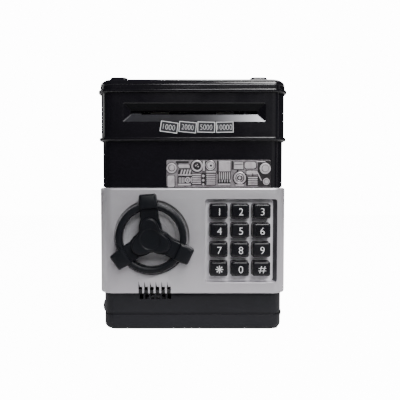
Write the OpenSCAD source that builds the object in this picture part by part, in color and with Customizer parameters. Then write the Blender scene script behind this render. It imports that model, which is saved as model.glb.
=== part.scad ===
// Toy cash-machine savings bank: note slot and feeder at the top, coin slot in the lid, code keypad and hand wheel
// on a hinged silver door. Origin at the middle of the underside, front faces -Y, +Z up, millimetres.

/* [Body] */
// Width of the body behind the door
body_w = 134; // [132:1:166]
// Depth of the body from front face to back face
body_d = 104; // [102:1:130]
// Corner radius of the body seen from above
corner_r = 9; // [8:0.5:11]
// Thickness of the moulded walls
wall = 2.4; // [2:0.1:2.9]

/* [Heights] */
// Height of the base tray
base_h = 29; // [28:0.5:36]
// Height of the silver door
door_h = 76.8; // [76:0.1:94]
// Height of the black section above the door
mid_h = 34.1; // [33:0.1:42]
// Height of the upper housing up to its flange
housing_h = 32.2; // [31:0.1:40]
// Height of the bead line and of the flange line
bead_h = 2.6; // [2:0.1:3.2]
// Height of the lid above the flange
lid_h = 7.9; // [7:0.1:10]

/* [Door] */
// How far the door stands in front of the body
door_proud = 6.3; // [5:0.1:8]
// Depth of the whole door
door_t = 20.6; // [20:0.1:24]
// Distance of the hinge axis from the door's side and back
hinge_edge = 8; // [7.5:0.1:8.4]
// Depth of the keypad recess
keypad_depth = 6.5; // [4.5:0.1:6.8]

/* [Keys] */
// Width of one key
key_w = 13; // [11:0.1:13.4]
// Height of one key
key_h = 10.5; // [9:0.1:11.2]
// Spacing of the key columns
key_pitch_x = 15.5; // [15.4:0.1:15.9]
// Spacing of the key rows
key_pitch_z = 13.95; // [13.8:0.05:14.3]
// Travel of a key
key_travel = 1.2; // [0.8:0.1:1.2]

/* [Hand wheel] */
// Outer radius of the wheel ring
wheel_r = 25.4; // [21:0.1:26]
// Outer radius over the three knobs
knob_r = 31.5; // [30:0.1:33]
// Angle that the wheel is turned at rest
wheel_turn = 4.5; // [0:0.5:10]
// Distance of the wheel axis from the door's left side
wheel_inset = 38.4; // [37:0.1:40]

/* [Note feeder] */
// Width of the note slot
slot_w = 92.5; // [80:0.5:98]
// Height of the note slot
slot_h = 5.2; // [4.6:0.1:5.6]
// Radius of the rubber feed rollers
roller_r = 7; // [6:0.1:7.2]

/* [Lid] */
// Length of the coin slot
coin_slot_l = 33; // [28:0.5:38]
// Width of the coin slot
coin_slot_w = 4.6; // [4.4:0.1:5]

/* [Hidden] */
$fn = 48;

// clearances
gap = 0.3;
door_gap = 0.4;
fit = 0.05;

// outlines of the stacked sections
base_w = body_w - 1;
base_d = body_d - 2;
bead_step = 2.5;
house_step = 1.1;
flange_step = 2.9;
lid_step = 1.6;
door_w = body_w + 2;

// heights of the stacked sections
z_base = base_h;
z_door = z_base + door_gap;
z_door_top = z_door + door_h;
z_mid = z_door_top + door_gap;
z_bead = z_mid + mid_h;
z_house = z_bead + bead_h;
z_flange = z_house + housing_h;
z_lid = z_flange + bead_h;
z_top = z_lid + lid_h;

// depths
y_front = -body_d / 2;
y_face = y_front - door_proud;
y_door_back = y_face + door_t;
y_frame = y_door_back + gap;
y_house = y_front - house_step;

// hinge
hinge_x = door_w / 2 - hinge_edge;
hinge_y = y_door_back - hinge_edge;
pin_r = 1.6;
pin_reach = 2.2;

// base tray
base_round = 4.5;
groove_z = 12.6;
groove_h = 1.7;
groove_deep = 0.9;
column_r = 4.5;
boss_r = 4.4;
floor_t = 2.4;
screw_x = body_w / 2 - 6.5;
screw_y = [y_frame + 6.8, body_d / 2 - 6.5];
screw_r = 1.4;

// AA cells side by side across the back of the base
cell_r = 7.2;
cell_l = 49.5;
nub_r = 2.7;
nub_l = 1;
cell_pitch = 15;
bay_l = 58;
bay_w = 3 * cell_pitch + 0.2;
bay_wall = 2;
bay_y = base_d / 2 - wall - bay_wall - bay_w / 2;
cell_z = floor_t + gap + cell_r;
bay_h = cell_z + cell_r + 0.5;
contact_t = 0.4;
tab_l = 10;
tab_w = 10;

// board and speaker in the base
board_x = 22;
board_y = -27.5;
board_z = 6;
board_w = 58;
board_d = 30;
board_t = 1.6;
standoff_r = 2.2;
speaker_r = 11.6;
speaker_z = floor_t + speaker_r + 0.4;

// speaker slots shared by the door and the base
slits = 6;
slit_pitch = 4.13;
slit_w = 2.8;
slit_low = 5.4;
slit_mid = 2.3;
slit_high = 6.2;

// wheel, latch and lock
wheel_x = -door_w / 2 + wheel_inset;
wheel_z = z_door + 41.1;
speaker_x = wheel_x + 2;
dish_r = 27.1;
dish_deep = 3.2;
dish_step_r = 21.5;
dish_step = 0.9;
shaft_r = 3;
wheel_back = y_face - 1.2;
ring_t = 6.6;
ring_w = 5;
spoke_w = 13;
knob_w = 12.6;
knob_t = 8.4;
hub_r = 11.2;
hub_t = 8.6;
cap_t = 2.2;
cap_lobe_r = 5;
door_skin = 2;
cup_back = y_face + dish_deep + dish_step + 1.6;
boss_back = cup_back + 4;
disc_r = 12;
disc_t = 2.4;
disc_y = boss_back + 3.6;
notch_w = 6.4;
notch_deep = 4;
strike_t = 0.8;
finger_y = y_frame + wall + strike_t + 0.5;
finger_t = 2.5;
finger_w = 8;
finger_l = body_w / 2 + wheel_x - wall - 3.2;
frame_side = 9;
frame_hinge_side = 13;
frame_low = 4.5;
frame_high = 3;

// solenoid to the right of the lock disc
plunger_r = 1.5;
plunger_head_r = 2.6;
plunger_head_t = 1.2;
plunger_stroke = 3;
plunger_x = wheel_x + disc_r + 0.6;
plunger_y = disc_y - disc_t / 2;
yoke_x = plunger_x + 6.4;
yoke_l = 14;
yoke_h = 12;
yoke_d = 10.4;

// keypad
recess_w = 52.2;
recess_h = 60.6;
recess_x = door_w / 2 - 32.8;
recess_z = z_door + 38.5;
recess_floor = 1.6;
keys_x = recess_x - 0.8;
keys_z = recess_z + 0.5;
key_proud = 1;
key_gap = 0.3;
key_flange = 0.7;
key_flange_t = 1.2;
floor_back = y_face + keypad_depth + recess_floor;
flange_front = floor_back + 0.3;
flange_back = flange_front + key_flange_t;
dome_front = flange_back + key_travel + 0.1;
sheet_front = dome_front + 0.6;
sheet_t = 1.2;
pcb_front = sheet_front + sheet_t;
pcb_t = 1.4;
pcb_w = 56;
pcb_h = 58.6;
post_x = 26.4;
post_z = 27.9;
post_r = 1.8;

// note slot and feeder
slot_x = 1.2;
slot_z = z_house + 17.6;
recess_slot_w = 104;
recess_slot_h = 13.8;
recess_slot_z = z_house + 19.1;
slot_recess_deep = 4.2;
slot_box_back = y_house + 7.1;
feeder_half = 38;
cheek_t = 2;
cheek_back = 45.6;
feed_y = slot_box_back + 3.5 + roller_r;
feed_z = slot_z - roller_r - 0.15;
shaft_feed_r = 2;
pinch_r = 4;
pinch_pin_r = 1.5;
pinch_z = slot_z + pinch_r + 0.15;
roller_w = 14;
roller_x = 25;
gear_m = 0.5;
roller_teeth = 36;
idler_small = 12;
idler_big = 40;
pinion_teeth = 10;
gear_x = feeder_half + cheek_t + 1;
gear_t = 3.5;
big_gear_x = gear_x + gear_t + 0.5;
big_gear_t = 2.5;
idler_y = feed_y + (roller_teeth + idler_small) * gear_m / 2;
motor_y = idler_y + (idler_big + pinion_teeth) * gear_m / 2;
idler_pin_r = 1.5;
motor_l = 25;
motor_r = 10;
motor_flat = 7.5;
motor_shaft_r = 1;
guide_y = feed_y + 14;
guide_t = 1.2;

// lid
lid_w = body_w + 2 * lid_step;
lid_d = body_d + 2 * lid_step;
lid_round = 6.6;
lid_inset = 4.6;
rail_w = 12.6;
rail_h = 2;
rail_x = [-54.8, 49.2];
rail_l = lid_d - 2 * lid_round - 1;
coin_y = 18;
chute_t = 1.6;
chute_gap = 5;
chute_l = 58;

// rounded rectangle with true arcs
module rounded_rect(w, d, r) {
    square([w - 2 * r, d], center = true);
    square([w, d - 2 * r], center = true);
    for (x = [-1, 1], y = [-1, 1])
        translate([x * (w / 2 - r), y * (d / 2 - r)])
            circle(r);
}

// upright block with the body's plan, grown outwards by step on each side
module section(step, z, h) {
    translate([0, 0, z])
        linear_extrude(h)
            rounded_rect(body_w + 2 * step, body_d + 2 * step, corner_r + step);
}

module base_section(step, z, h) {
    translate([0, 0, z])
        linear_extrude(h)
            rounded_rect(base_w + 2 * step, base_d + 2 * step, corner_r - 0.5 + step);
}

// block from two opposite corners
module block(low, high) {
    translate(low)
        cube(high - low);
}

// drawing plane that faces the front: X stays, Y becomes height, extrusions grow towards the front
module facing(x, y, z) {
    translate([x, y, z])
        rotate([90, 0, 0])
            children();
}

// rod along Y from y0 back to y1
module rod_y(x, z, y0, y1, r) {
    facing(x, y1, z)
        cylinder(r = r, h = y1 - y0);
}

// rod along X from x0 to x1
module rod_x(y, z, x0, x1, r) {
    translate([x0, y, z])
        rotate([0, 90, 0])
            cylinder(r = r, h = x1 - x0);
}

// stack of thin slabs that blends a rounded edge over the height r
module round_edge(w, d, corner, r, z, up) {
    hull()
        for (a = [0 : 22.5 : 90])
            translate([0, 0, z + up * r * (sin(a)) - (up > 0 ? 0.02 : 0)])
                linear_extrude(0.02)
                    rounded_rect(w - 2 * r * (1 - cos(a)), d - 2 * r * (1 - cos(a)),
                        corner - r * (1 - cos(a)) * 0.6, $fn = 32);
}

module at_screws() {
    for (x = [-screw_x, screw_x], y = screw_y)
        translate([x, y, 0])
            children();
}

module slit_row(y0, y1, z0, z1) {
    for (i = [0 : slits - 1])
        block([speaker_x + (i - (slits - 1) / 2) * slit_pitch - slit_w / 2, y0, z0],
            [speaker_x + (i - (slits - 1) / 2) * slit_pitch + slit_w / 2, y1, z1]);
}

// helical spring of round wire along Z
module coil_spring(r, wire, turns, length, steps = 12, sides = 6) {
    count = turns * steps;
    points = [for (i = [0 : count], s = [0 : sides - 1])
        let (a = i * 360 / steps, b = s * 360 / sides, k = r + wire * cos(b))
        [k * cos(a), k * sin(a), wire + i * (length - 2 * wire) / count + wire * sin(b)]];
    faces = concat(
        [[for (s = [sides - 1 : -1 : 0]) s]],
        [for (i = [0 : count - 1], s = [0 : sides - 1])
            let (n = (s + 1) % sides)
            [i * sides + s, i * sides + n, (i + 1) * sides + n, (i + 1) * sides + s]],
        [[for (s = [0 : sides - 1]) count * sides + s]]
    );
    polyhedron(points, [for (f = faces) [for (k = [len(f) - 1 : -1 : 0]) f[k]]]);
}

// spur gear with straight-flanked teeth around Z
module gear_outline(teeth, phase) {
    pitch_r = teeth * gear_m / 2;
    root_r = pitch_r - 1.2 * gear_m;
    tip_r = pitch_r + 0.8 * gear_m;
    half = PI * gear_m / 4 * 0.84;
    tip = half - 0.8 * gear_m * tan(20);
    foot = half + 1.2 * gear_m * tan(20);
    circle(root_r);
    for (i = [0 : teeth - 1])
        rotate(phase + i * 360 / teeth)
            polygon([[root_r - 0.3, -foot], [tip_r, -tip], [tip_r, tip], [root_r - 0.3, foot]]);
}

// gear around the X axis, its first tooth pointing down before the phase is added
module gear_x_axis(teeth, phase, x, t, bore) {
    translate([x, 0, 0])
        rotate([0, 90, 0])
            linear_extrude(t)
                difference() {
                    gear_outline(teeth, phase);
                    circle(bore);
                }
}

module base_tray() {
    color([0.14, 0.14, 0.16])
        difference() {
            union() {
                difference() {
                    union() {
                        base_section(0, base_round, base_h - base_round);
                        round_edge(base_w, base_d, corner_r - 0.5, base_round, base_round, -1);
                        side_bump(-1, 7.4, 13.2, 4.2);
                        side_bump(1, 4.6, 7.8, 3.6);
                    }
                    base_section(-wall, floor_t, base_h);
                    difference() {
                        base_section(1, groove_z - groove_h / 2, groove_h);
                        base_section(-groove_deep, groove_z - groove_h, 2 * groove_h);
                    }
                }
                intersection() {
                    base_section(-wall / 2, 1, base_h - 1);
                    union() {
                        at_screws()
                            cylinder(r = column_r, h = base_h - floor_t);
                        translate([hinge_x, hinge_y, 0])
                            cylinder(r = column_r - 0.5, h = base_h);
                        block([-bay_l / 2 - bay_wall, bay_y - bay_w / 2 - bay_wall, 1],
                            [bay_l / 2 + bay_wall, bay_y + bay_w / 2 + bay_wall, bay_h + bay_wall]);
                        block([bay_l / 2, bay_y - 4, 1], [bay_l / 2 + tab_l, bay_y + 4, bay_h]);
                    }
                }
                for (x = [-1, 1], y = [-1, 1])
                    translate([board_x + x * (board_w / 2 - 3), board_y + y * (board_d / 2 - 3), 1])
                        cylinder(r = standoff_r, h = board_z - 1);
            }
            block([-bay_l / 2, bay_y - bay_w / 2, floor_t + 0.1],
                [bay_l / 2, bay_y + bay_w / 2, bay_h]);
            battery_opening(0, -1, floor_t + 0.2);
            translate([bay_l / 2 + tab_l - 4, bay_y, 0])
                cylinder(r = 1.05 + fit, h = 10);
            slit_row(y_front, y_front + 1 + wall + 0.5, z_base - slit_low, z_base + 1);
            translate([hinge_x, hinge_y, base_h - pin_reach])
                cylinder(r = pin_r + fit, h = pin_reach + 1);
            at_screws() {
                translate([0, 0, -1])
                    cylinder(r = screw_r + 0.1, h = base_h);
                translate([0, 0, -1])
                    cylinder(r = 3, h = 4);
            }
        }
}

// rounded bump on the side of the base
module side_bump(side, r, z, proud) {
    ball_r = (r * r + proud * proud) / (2 * proud);
    translate([side * (base_w / 2 + proud - ball_r), y_front + 24, z])
        sphere(ball_r);
}

// outline of the battery opening with its screw tab, shrunk by shrink on each edge
module battery_opening(shrink, z, h) {
    lip = 0.8;
    block([-bay_l / 2 + lip + shrink, bay_y - bay_w / 2 + lip + shrink, z],
        [bay_l / 2 - lip - shrink, bay_y + bay_w / 2 - lip - shrink, z + (h - z)]);
    block([bay_l / 2 - lip - shrink - 1, bay_y - tab_w / 2 + shrink, z],
        [bay_l / 2 + tab_l - shrink, bay_y + tab_w / 2 - shrink, z + (h - z)]);
}

module battery_door() {
    color([0.14, 0.14, 0.16])
        difference() {
            battery_opening(0.25, 0.5, floor_t);
            translate([bay_l / 2 + tab_l - 4, bay_y, 0]) {
                cylinder(r = 1.3, h = 4);
                cylinder(r = 2.4, h = 1.5);
            }
            for (i = [-2 : 2])
                block([-20, bay_y - 1 + i * 3, 0], [-8, bay_y + i * 3, 0.9]);
        }
}

module battery_door_screw() {
    color("silver")
        translate([bay_l / 2 + tab_l - 4, bay_y, 0])
            difference() {
                union() {
                    translate([0, 0, 0.6])
                        cylinder(r = 2.1, h = 0.9);
                    translate([0, 0, 1.4])
                        cylinder(r = 1.05, h = 7.5);
                }
                cross_slot(0.5, 0.5, 2.6);
            }
}

// cross recess cut in a screw head
module cross_slot(z, h, l) {
    block([-l / 2, -0.35, z], [l / 2, 0.35, z + h]);
    block([-0.35, -l / 2, z], [0.35, l / 2, z + h]);
}

// the three cells lie along X and point alternate ways
module at_cells() {
    for (i = [-1, 0, 1])
        translate([0, bay_y + i * cell_pitch, cell_z])
            rotate([0, 0, i == 0 ? 180 : 0])
                children();
}

module battery_cells() {
    color("goldenrod")
        at_cells()
            translate([-bay_l / 2 + contact_t + 0.05, 0, 0]) {
                rod_x(0, 0, nub_l, nub_l + cell_l, cell_r);
                rod_x(0, 0, 0, nub_l + 0.5, nub_r);
            }
}

module battery_springs() {
    length = bay_l - 2 * contact_t - cell_l - nub_l - 0.2;
    color("silver")
        at_cells()
            translate([bay_l / 2 - contact_t - length - 0.05, 0, 0])
                rotate([0, 90, 0])
                    coil_spring(3, 0.4, 4, length);
}

module battery_plates() {
    color("silver")
        at_cells()
            for (x = [-bay_l / 2, bay_l / 2 - contact_t])
                block([x, -5, -4.5], [x + contact_t, 5, 4.5]);
}

// two short wires from the battery bay down to the board
module battery_leads() {
    y0 = board_y + board_d / 2 - 4.2;
    y1 = bay_y - bay_w / 2 - bay_wall;
    for (i = [0, 1])
        color(i == 0 ? "red" : "black")
            translate([12 + 4 * i, 0, 0]) {
                rod_y(0, 13, y0, y1 - 0.02, 0.6);
                translate([0, y0, 13])
                    sphere(0.6);
                translate([0, y0, board_z + board_t + 2.6])
                    cylinder(r = 0.6, h = 13 - board_z - board_t - 2.6);
            }
}

module main_board() {
    color("darkgreen")
        block([board_x - board_w / 2, board_y - board_d / 2, board_z],
            [board_x + board_w / 2, board_y + board_d / 2, board_z + board_t]);
}

module board_parts() {
    top = board_z + board_t;
    color([0.1, 0.1, 0.1]) {
        block([board_x - 8, board_y - 8, top], [board_x + 6, board_y + 2, top + 1.8]);
        block([board_x + 12, board_y - 4, top], [board_x + 20, board_y + 4, top + 1.4]);
    }
    color("white")
        block([9, board_y + board_d / 2 - 6, top], [19, board_y + board_d / 2 - 2.4, top + 2.6]);
    color("navy")
        for (x = [-20, -14])
            translate([board_x + x, board_y - 6, top])
                cylinder(r = 2.5, h = 7);
}

module inner_floor() {
    color([0.2, 0.2, 0.22])
        difference() {
            base_section(-wall - gap, base_h - floor_t, floor_t);
            translate([hinge_x, hinge_y, 0])
                cylinder(r = column_r - 0.5 + gap, h = base_h + 1);
            at_screws()
                cylinder(r = screw_r + 0.2, h = base_h + 1);
        }
}

module speaker_frame() {
    y0 = -base_d / 2 + wall;
    color([0.3, 0.3, 0.32]) {
        difference() {
            rod_y(speaker_x, speaker_z, y0, y0 + 5, speaker_r);
            rod_y(speaker_x, speaker_z, y0 - 1, y0 + 4, speaker_r - 1.4);
        }
        rod_y(speaker_x, speaker_z, y0 + 5, y0 + 10, 7);
    }
}

module speaker_cone() {
    y0 = -base_d / 2 + wall;
    color([0.15, 0.13, 0.12])
        facing(speaker_x, y0 + 3.7, speaker_z)
            rotate_extrude()
                polygon([[0, 0], [4, 0.2], [speaker_r - 1.7, 2.6], [speaker_r - 1.7, 3.2], [4, 0.9], [0, 1.4]]);
}

module body_shell() {
    color([0.06, 0.06, 0.07])
        difference() {
            union() {
                difference() {
                    union() {
                        section(0, z_base, z_bead - z_base);
                        section(bead_step, z_bead, bead_h);
                    }
                    section(-wall, z_base - 1, z_house - z_base + 2);
                    block([-body_w, y_front - 20, z_base - 1], [body_w, y_frame, z_mid]);
                }
                difference() {
                    block([-body_w / 2, y_frame, z_base], [body_w / 2, y_frame + wall, z_mid + 1]);
                    block([-body_w / 2 + frame_side, y_frame - 1, z_base + frame_low],
                        [body_w / 2 - frame_hinge_side, y_frame + wall + 1, z_mid - frame_high]);
                }
                intersection() {
                    section(-wall / 2, z_mid, wall);
                    block([-body_w, y_front, z_mid], [body_w, y_frame + wall, z_mid + wall]);
                }
                intersection() {
                    section(-wall / 2, z_base, 18);
                    at_screws()
                        translate([0, 0, z_base])
                            cylinder(r = boss_r, h = 16);
                }
            }
            translate([hinge_x, hinge_y, z_mid - 1])
                cylinder(r = pin_r + fit, h = wall + 2);
            block([relief_x - relief_w / 2 - 0.1, y_front - 1, z_mid - 1],
                [relief_x + relief_w / 2 + 0.1, y_front + relief_sink, z_mid + relief_h + 0.3]);
            at_screws()
                translate([0, 0, z_base - 1])
                    cylinder(r = screw_r + fit, h = 13);
        }
}

// silver picture of machine parts, let into the front above the door
relief_x = 19;
relief_w = 76.4;
relief_h = 20;
relief_sink = 0.6;
relief_t = 1.6;

module relief_plate() {
    color("silver")
        block([relief_x - relief_w / 2, y_front + relief_sink - relief_t, z_mid + 0.1],
            [relief_x + relief_w / 2, y_front + relief_sink, z_mid + relief_h]);
}

module strike_plate() {
    color("silver")
        block([-body_w / 2 + wall + 0.1, y_frame + wall, wheel_z - 10],
            [-body_w / 2 + frame_side + 0.3, y_frame + wall + strike_t, wheel_z + 10]);
}

module case_screws() {
    color("silver")
        at_screws()
            difference() {
                union() {
                    translate([0, 0, 1.2])
                        cylinder(r = 2.7, h = 1.8);
                    translate([0, 0, 2.9])
                        cylinder(r = screw_r, h = z_base + 7);
                }
                cross_slot(1, 0.9, 3.4);
            }
}

module upper_housing() {
    color([0.06, 0.06, 0.07])
        difference() {
            union() {
                difference() {
                    union() {
                        section(house_step, z_house, housing_h);
                        section(flange_step, z_flange, bead_h);
                    }
                    section(house_step - wall, z_house - 1, housing_h + bead_h + 2);
                }
                block([slot_x - recess_slot_w / 2 - 2, y_house + wall - 0.5, recess_slot_z - recess_slot_h / 2 - 2],
                    [slot_x + recess_slot_w / 2 + 2, slot_box_back, recess_slot_z + recess_slot_h / 2 + 2]);
            }
            hull() {
                block([slot_x - recess_slot_w / 2, y_house - 1, recess_slot_z - recess_slot_h / 2],
                    [slot_x + recess_slot_w / 2, y_house, recess_slot_z + recess_slot_h / 2]);
                block([slot_x - slot_w / 2, y_house + slot_recess_deep - 0.1, slot_z - slot_h / 2],
                    [slot_x + slot_w / 2, y_house + slot_recess_deep, slot_z + slot_h / 2]);
            }
            block([slot_x - slot_w / 2, y_house, slot_z - slot_h / 2],
                [slot_x + slot_w / 2, slot_box_back + 1, slot_z + slot_h / 2]);
            for (p = feeder_screw_at)
                rod_y(p[0], p[1], slot_box_back - 2.8, slot_box_back + 1, 1 + fit);
        }
}

// four small framed number labels, each turned a little
label_w = 13.6;
label_h = 7.8;
label_t = 0.3;
label_pitch = 13.6;
label_tilt = [-8, -5, -1.5, 1];
label_x = 3.3;
label_z = z_house + 7.4;

module value_labels() {
    color("black")
        for (i = [0 : 3])
            facing(label_x + (i - 1.5) * label_pitch, y_house, label_z)
                rotate(label_tilt[i])
                    translate([-label_w / 2 + 0.3, -label_h / 2, 0])
                        cube([label_w - 0.9, label_h, label_t]);
}

module top_lid() {
    color([0.06, 0.06, 0.07])
        difference() {
            union() {
                difference() {
                    union() {
                        section(lid_step, z_lid, lid_h - lid_round);
                        round_edge(lid_w, lid_d, corner_r + lid_step, lid_round, z_top - lid_round, 1);
                        for (x = rail_x)
                            translate([x, 0, z_top - 1])
                                linear_extrude(rail_h + 1)
                                    rounded_rect(rail_w, rail_l, 1.6);
                    }
                    section(lid_step - lid_inset, z_lid - 1, lid_h - wall + 1);
                }
                difference() {
                    section(house_step - wall - gap, z_lid - 3, 3.5);
                    section(lid_step - lid_inset - 0.4, z_lid - 4, 6);
                }
            }
            block([-coin_slot_l / 2, coin_y - coin_slot_w / 2, z_lid],
                [coin_slot_l / 2, coin_y + coin_slot_w / 2, z_top + 1]);
        }
}

module coin_chute() {
    z1 = z_top - wall;
    color([0.25, 0.25, 0.28])
        difference() {
            union() {
                block([-coin_slot_l / 2 - chute_t - 0.5, coin_y - chute_gap / 2 - chute_t, z1 - chute_l],
                    [coin_slot_l / 2 + chute_t + 0.5, coin_y + chute_gap / 2 + chute_t, z1]);
                block([-coin_slot_l / 2 - 7, coin_y - 8, z1 - 1.6], [coin_slot_l / 2 + 7, coin_y + 8, z1]);
            }
            block([-coin_slot_l / 2 - 0.5, coin_y - chute_gap / 2, z1 - chute_l - 1],
                [coin_slot_l / 2 + 0.5, coin_y + chute_gap / 2, z1 + 1]);
        }
}

feeder_screw_at = [
    [-feeder_half - 10.5, slot_z - 4.6],
    [-feeder_half - 10.5, slot_z + 6.5],
    [feeder_half + 12, slot_z + 6.5]
];

module feeder_frame() {
    low = feed_z - 8;
    high = slot_z + 11;
    y0 = slot_box_back;
    color([0.35, 0.35, 0.38])
        difference() {
            union() {
                for (s = [-1, 1])
                    block([s * (feeder_half + cheek_t / 2) - cheek_t / 2, y0, low],
                        [s * (feeder_half + cheek_t / 2) + cheek_t / 2, y0 + cheek_back, high]);
                block([-feeder_half - 1, y0 + cheek_back - 2, low], [feeder_half + 1, y0 + cheek_back, high]);
                block([-feeder_half - 1, y0, high - 1.6], [feeder_half + 1, y0 + cheek_back, high]);
                block([-feeder_half - 14, y0, slot_z - 7.5], [-feeder_half - 1, y0 + 2, high]);
                block([feeder_half + 1, y0, slot_z + 3.4], [feeder_half + 15.5, y0 + 2, high]);
            }
            rod_x(feed_y, feed_z, -feeder_half - 5, feeder_half + 5, shaft_feed_r + fit);
            rod_x(feed_y, pinch_z, -feeder_half - 5, feeder_half + 5, pinch_pin_r + fit);
            rod_x(idler_y, feed_z, feeder_half - 1, feeder_half + 5, idler_pin_r + 0.02);
            rod_x(motor_y, feed_z, feeder_half - 1, feeder_half + 5, 3);
            for (p = feeder_screw_at)
                rod_y(p[0], p[1], y0 - 1, y0 + 3, 1.2);
        }
}

module feeder_screws() {
    color("silver")
        for (p = feeder_screw_at)
            facing(p[0], slot_box_back + 3.2, p[1])
                difference() {
                    union() {
                        cylinder(r = 1.9, h = 1.2);
                        translate([0, 0, 1.1])
                            cylinder(r = 1, h = 4.5);
                    }
                    cross_slot(-0.1, 0.6, 2.4);
                }
}

// plate behind the rollers that turns the note down into the compartment
module note_guide() {
    high = slot_z + 9.2;
    color([0.5, 0.5, 0.52])
        translate([-feeder_half + 0.1, 0, 0])
            rotate([90, 0, 90])
                linear_extrude(2 * feeder_half - 0.2)
                    polygon([
                        [guide_y, feed_z - 8], [guide_y + guide_t, feed_z - 8],
                        [guide_y + guide_t, slot_z + 5], [guide_y - 5, high], [guide_y - 6.4, high],
                        [guide_y, slot_z + 4]
                    ]);
}

module note_sensor() {
    color([0.1, 0.2, 0.1])
        block([-feeder_half + 0.1, slot_box_back + 0.1, slot_z - 9],
            [-feeder_half + 7, slot_box_back + 3, slot_z - slot_h / 2 - 0.4]);
}

module feed_motor() {
    color("silver")
        difference() {
            intersection() {
                rod_x(motor_y, feed_z, feeder_half - motor_l - 0.1, feeder_half - 0.1, motor_r);
                block([feeder_half - motor_l - 1, motor_y - motor_flat, feed_z - motor_r],
                    [feeder_half, motor_y + motor_flat, feed_z + motor_r]);
            }
            rod_x(motor_y, feed_z, feeder_half - 12, feeder_half + 1, motor_shaft_r + fit);
        }
}

module idler_pin() {
    color("silver")
        rod_x(idler_y, feed_z, feeder_half, big_gear_x + big_gear_t + 1, idler_pin_r);
}

// plan of the door, shrunk by inset on every side but the back
module door_plan(inset) {
    w = door_w / 2;
    front_r = corner_r + 1 - inset;
    cx = w - corner_r - 1;
    y0 = y_face + inset;
    translate([-cx, y0])
        square([2 * cx, y_door_back - y0]);
    translate([-w + inset, y_face + corner_r + 1])
        square([w - inset, y_door_back - y_face - corner_r - 1]);
    translate([0, y_face + corner_r + 1])
        square([hinge_x, y_door_back - y_face - corner_r - 1]);
    for (s = [-1, 1])
        translate([s * cx, y_face + corner_r + 1])
            circle(front_r);
    translate([hinge_x - 1, y_face + corner_r + 1])
        square([hinge_edge + 1 - inset, hinge_y - y_face - corner_r - 1]);
    translate([hinge_x, hinge_y])
        circle(hinge_edge - inset);
}

back_t = 2;
door_screw_at = [
    [-door_w / 2 + 7, z_door + 7],
    [-door_w / 2 + 7, z_door_top - 7],
    [recess_x - 6, z_door + 4.8],
    [recess_x - 6, z_door_top - 4.6]
];

module door_shell() {
    color([0.68, 0.68, 0.71])
        difference() {
            union() {
                difference() {
                    translate([0, 0, z_door])
                        linear_extrude(door_h)
                            door_plan(0);
                    translate([0, 0, z_door + door_skin])
                        linear_extrude(door_h - 2 * door_skin)
                            door_cavity_plan();
                }
                rod_y(wheel_x, wheel_z, y_face + 1, cup_back, dish_r + 1.8);
                rod_y(wheel_x, wheel_z, cup_back - 0.5, boss_back, 6);
                facing(recess_x, floor_back, recess_z)
                    linear_extrude(floor_back - y_face - 1)
                        rounded_rect(recess_w + 3.2, recess_h + 3.2, 3);
                for (x = [-1, 1], z = [-1, 1])
                    rod_y(recess_x + x * post_x, recess_z + z * post_z, floor_back - 0.5, pcb_front, post_r);
                for (p = door_screw_at)
                    rod_y(p[0], p[1], y_face + 1, y_door_back - back_t - 0.1, 2.6);
                for (z = [z_door + 0.5, z_door_top - 8.5])
                    translate([hinge_x, hinge_y, z])
                        cylinder(r = 4, h = 8);
            }
            rod_y(wheel_x, wheel_z, y_face - 1, y_face + dish_deep, dish_r);
            rod_y(wheel_x, wheel_z, y_face, y_face + dish_deep + dish_step, dish_step_r);
            rod_y(wheel_x, wheel_z, y_face, boss_back + 1, shaft_r + fit);
            facing(recess_x, y_face + keypad_depth, recess_z)
                linear_extrude(keypad_depth + 1)
                    rounded_rect(recess_w, recess_h, 2);
            for (k = [0 : 11])
                facing(key_x(k), floor_back + 1, key_z(k))
                    linear_extrude(recess_floor + 2)
                        rounded_rect(key_w + 2 * key_gap, key_h + 2 * key_gap, 1.6);
            slit_row(y_face - 1, y_face + 0.9, z_door - 1, z_door + slit_high);
            slit_row(y_face - 1, y_face + 3, z_door - 1, z_door + slit_mid);
            for (x = [-1, 1], z = [-1, 1])
                rod_y(recess_x + x * post_x, recess_z + z * post_z, pcb_front - 3.6, pcb_front + 1, 0.85 + fit);
            for (p = door_screw_at)
                rod_y(p[0], p[1], y_door_back - back_t - 7, y_door_back, 1.1 + fit);
            for (z = [z_door - 1, z_door_top - 7])
                translate([hinge_x, hinge_y, z])
                    cylinder(r = pin_r + 0.02, h = 8);
        }
}

// inside of the door, open at the back
module door_cavity_plan() {
    difference() {
        union() {
            door_plan(door_skin);
            translate([-door_w / 2 + door_skin, y_door_back - 6])
                square([hinge_x + door_w / 2 - door_skin, 7]);
        }
        translate([hinge_x, hinge_y + hinge_edge - door_skin])
            square([20, 20]);
    }
}

module door_back() {
    color([0.12, 0.12, 0.13])
        difference() {
            block([-door_w / 2 + door_skin + 0.2, y_door_back - back_t, z_door + door_skin + 0.2],
                [hinge_x - 0.2, y_door_back, z_door_top - door_skin - 0.2]);
            rod_y(wheel_x, wheel_z, y_door_back - 5, y_door_back + 1, shaft_r + fit);
            for (p = door_screw_at) {
                rod_y(p[0], p[1], y_door_back - 5, y_door_back + 1, 1.3);
                rod_y(p[0], p[1], y_door_back - 1.1, y_door_back + 1, 2.4);
            }
        }
}

module door_screws() {
    color("silver")
        for (p = door_screw_at)
            facing(p[0], y_door_back - 0.1, p[1])
                difference() {
                    union() {
                        cylinder(r = 2.1, h = 0.95);
                        translate([0, 0, 0.9])
                            cylinder(r = 1.1, h = 7);
                    }
                    cross_slot(-0.1, 0.5, 2.6);
                }
}

module hinge_pins() {
    color("silver")
        for (z = [z_base - pin_reach + 0.3, z_door_top - 7])
            translate([hinge_x, hinge_y, z])
                cylinder(r = pin_r, h = 7 + pin_reach);
}

// key number k counts from the top left along the rows
function key_x(k) = keys_x + (k % 3 - 1) * key_pitch_x;
function key_z(k) = keys_z + (1.5 - floor(k / 3)) * key_pitch_z;

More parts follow.
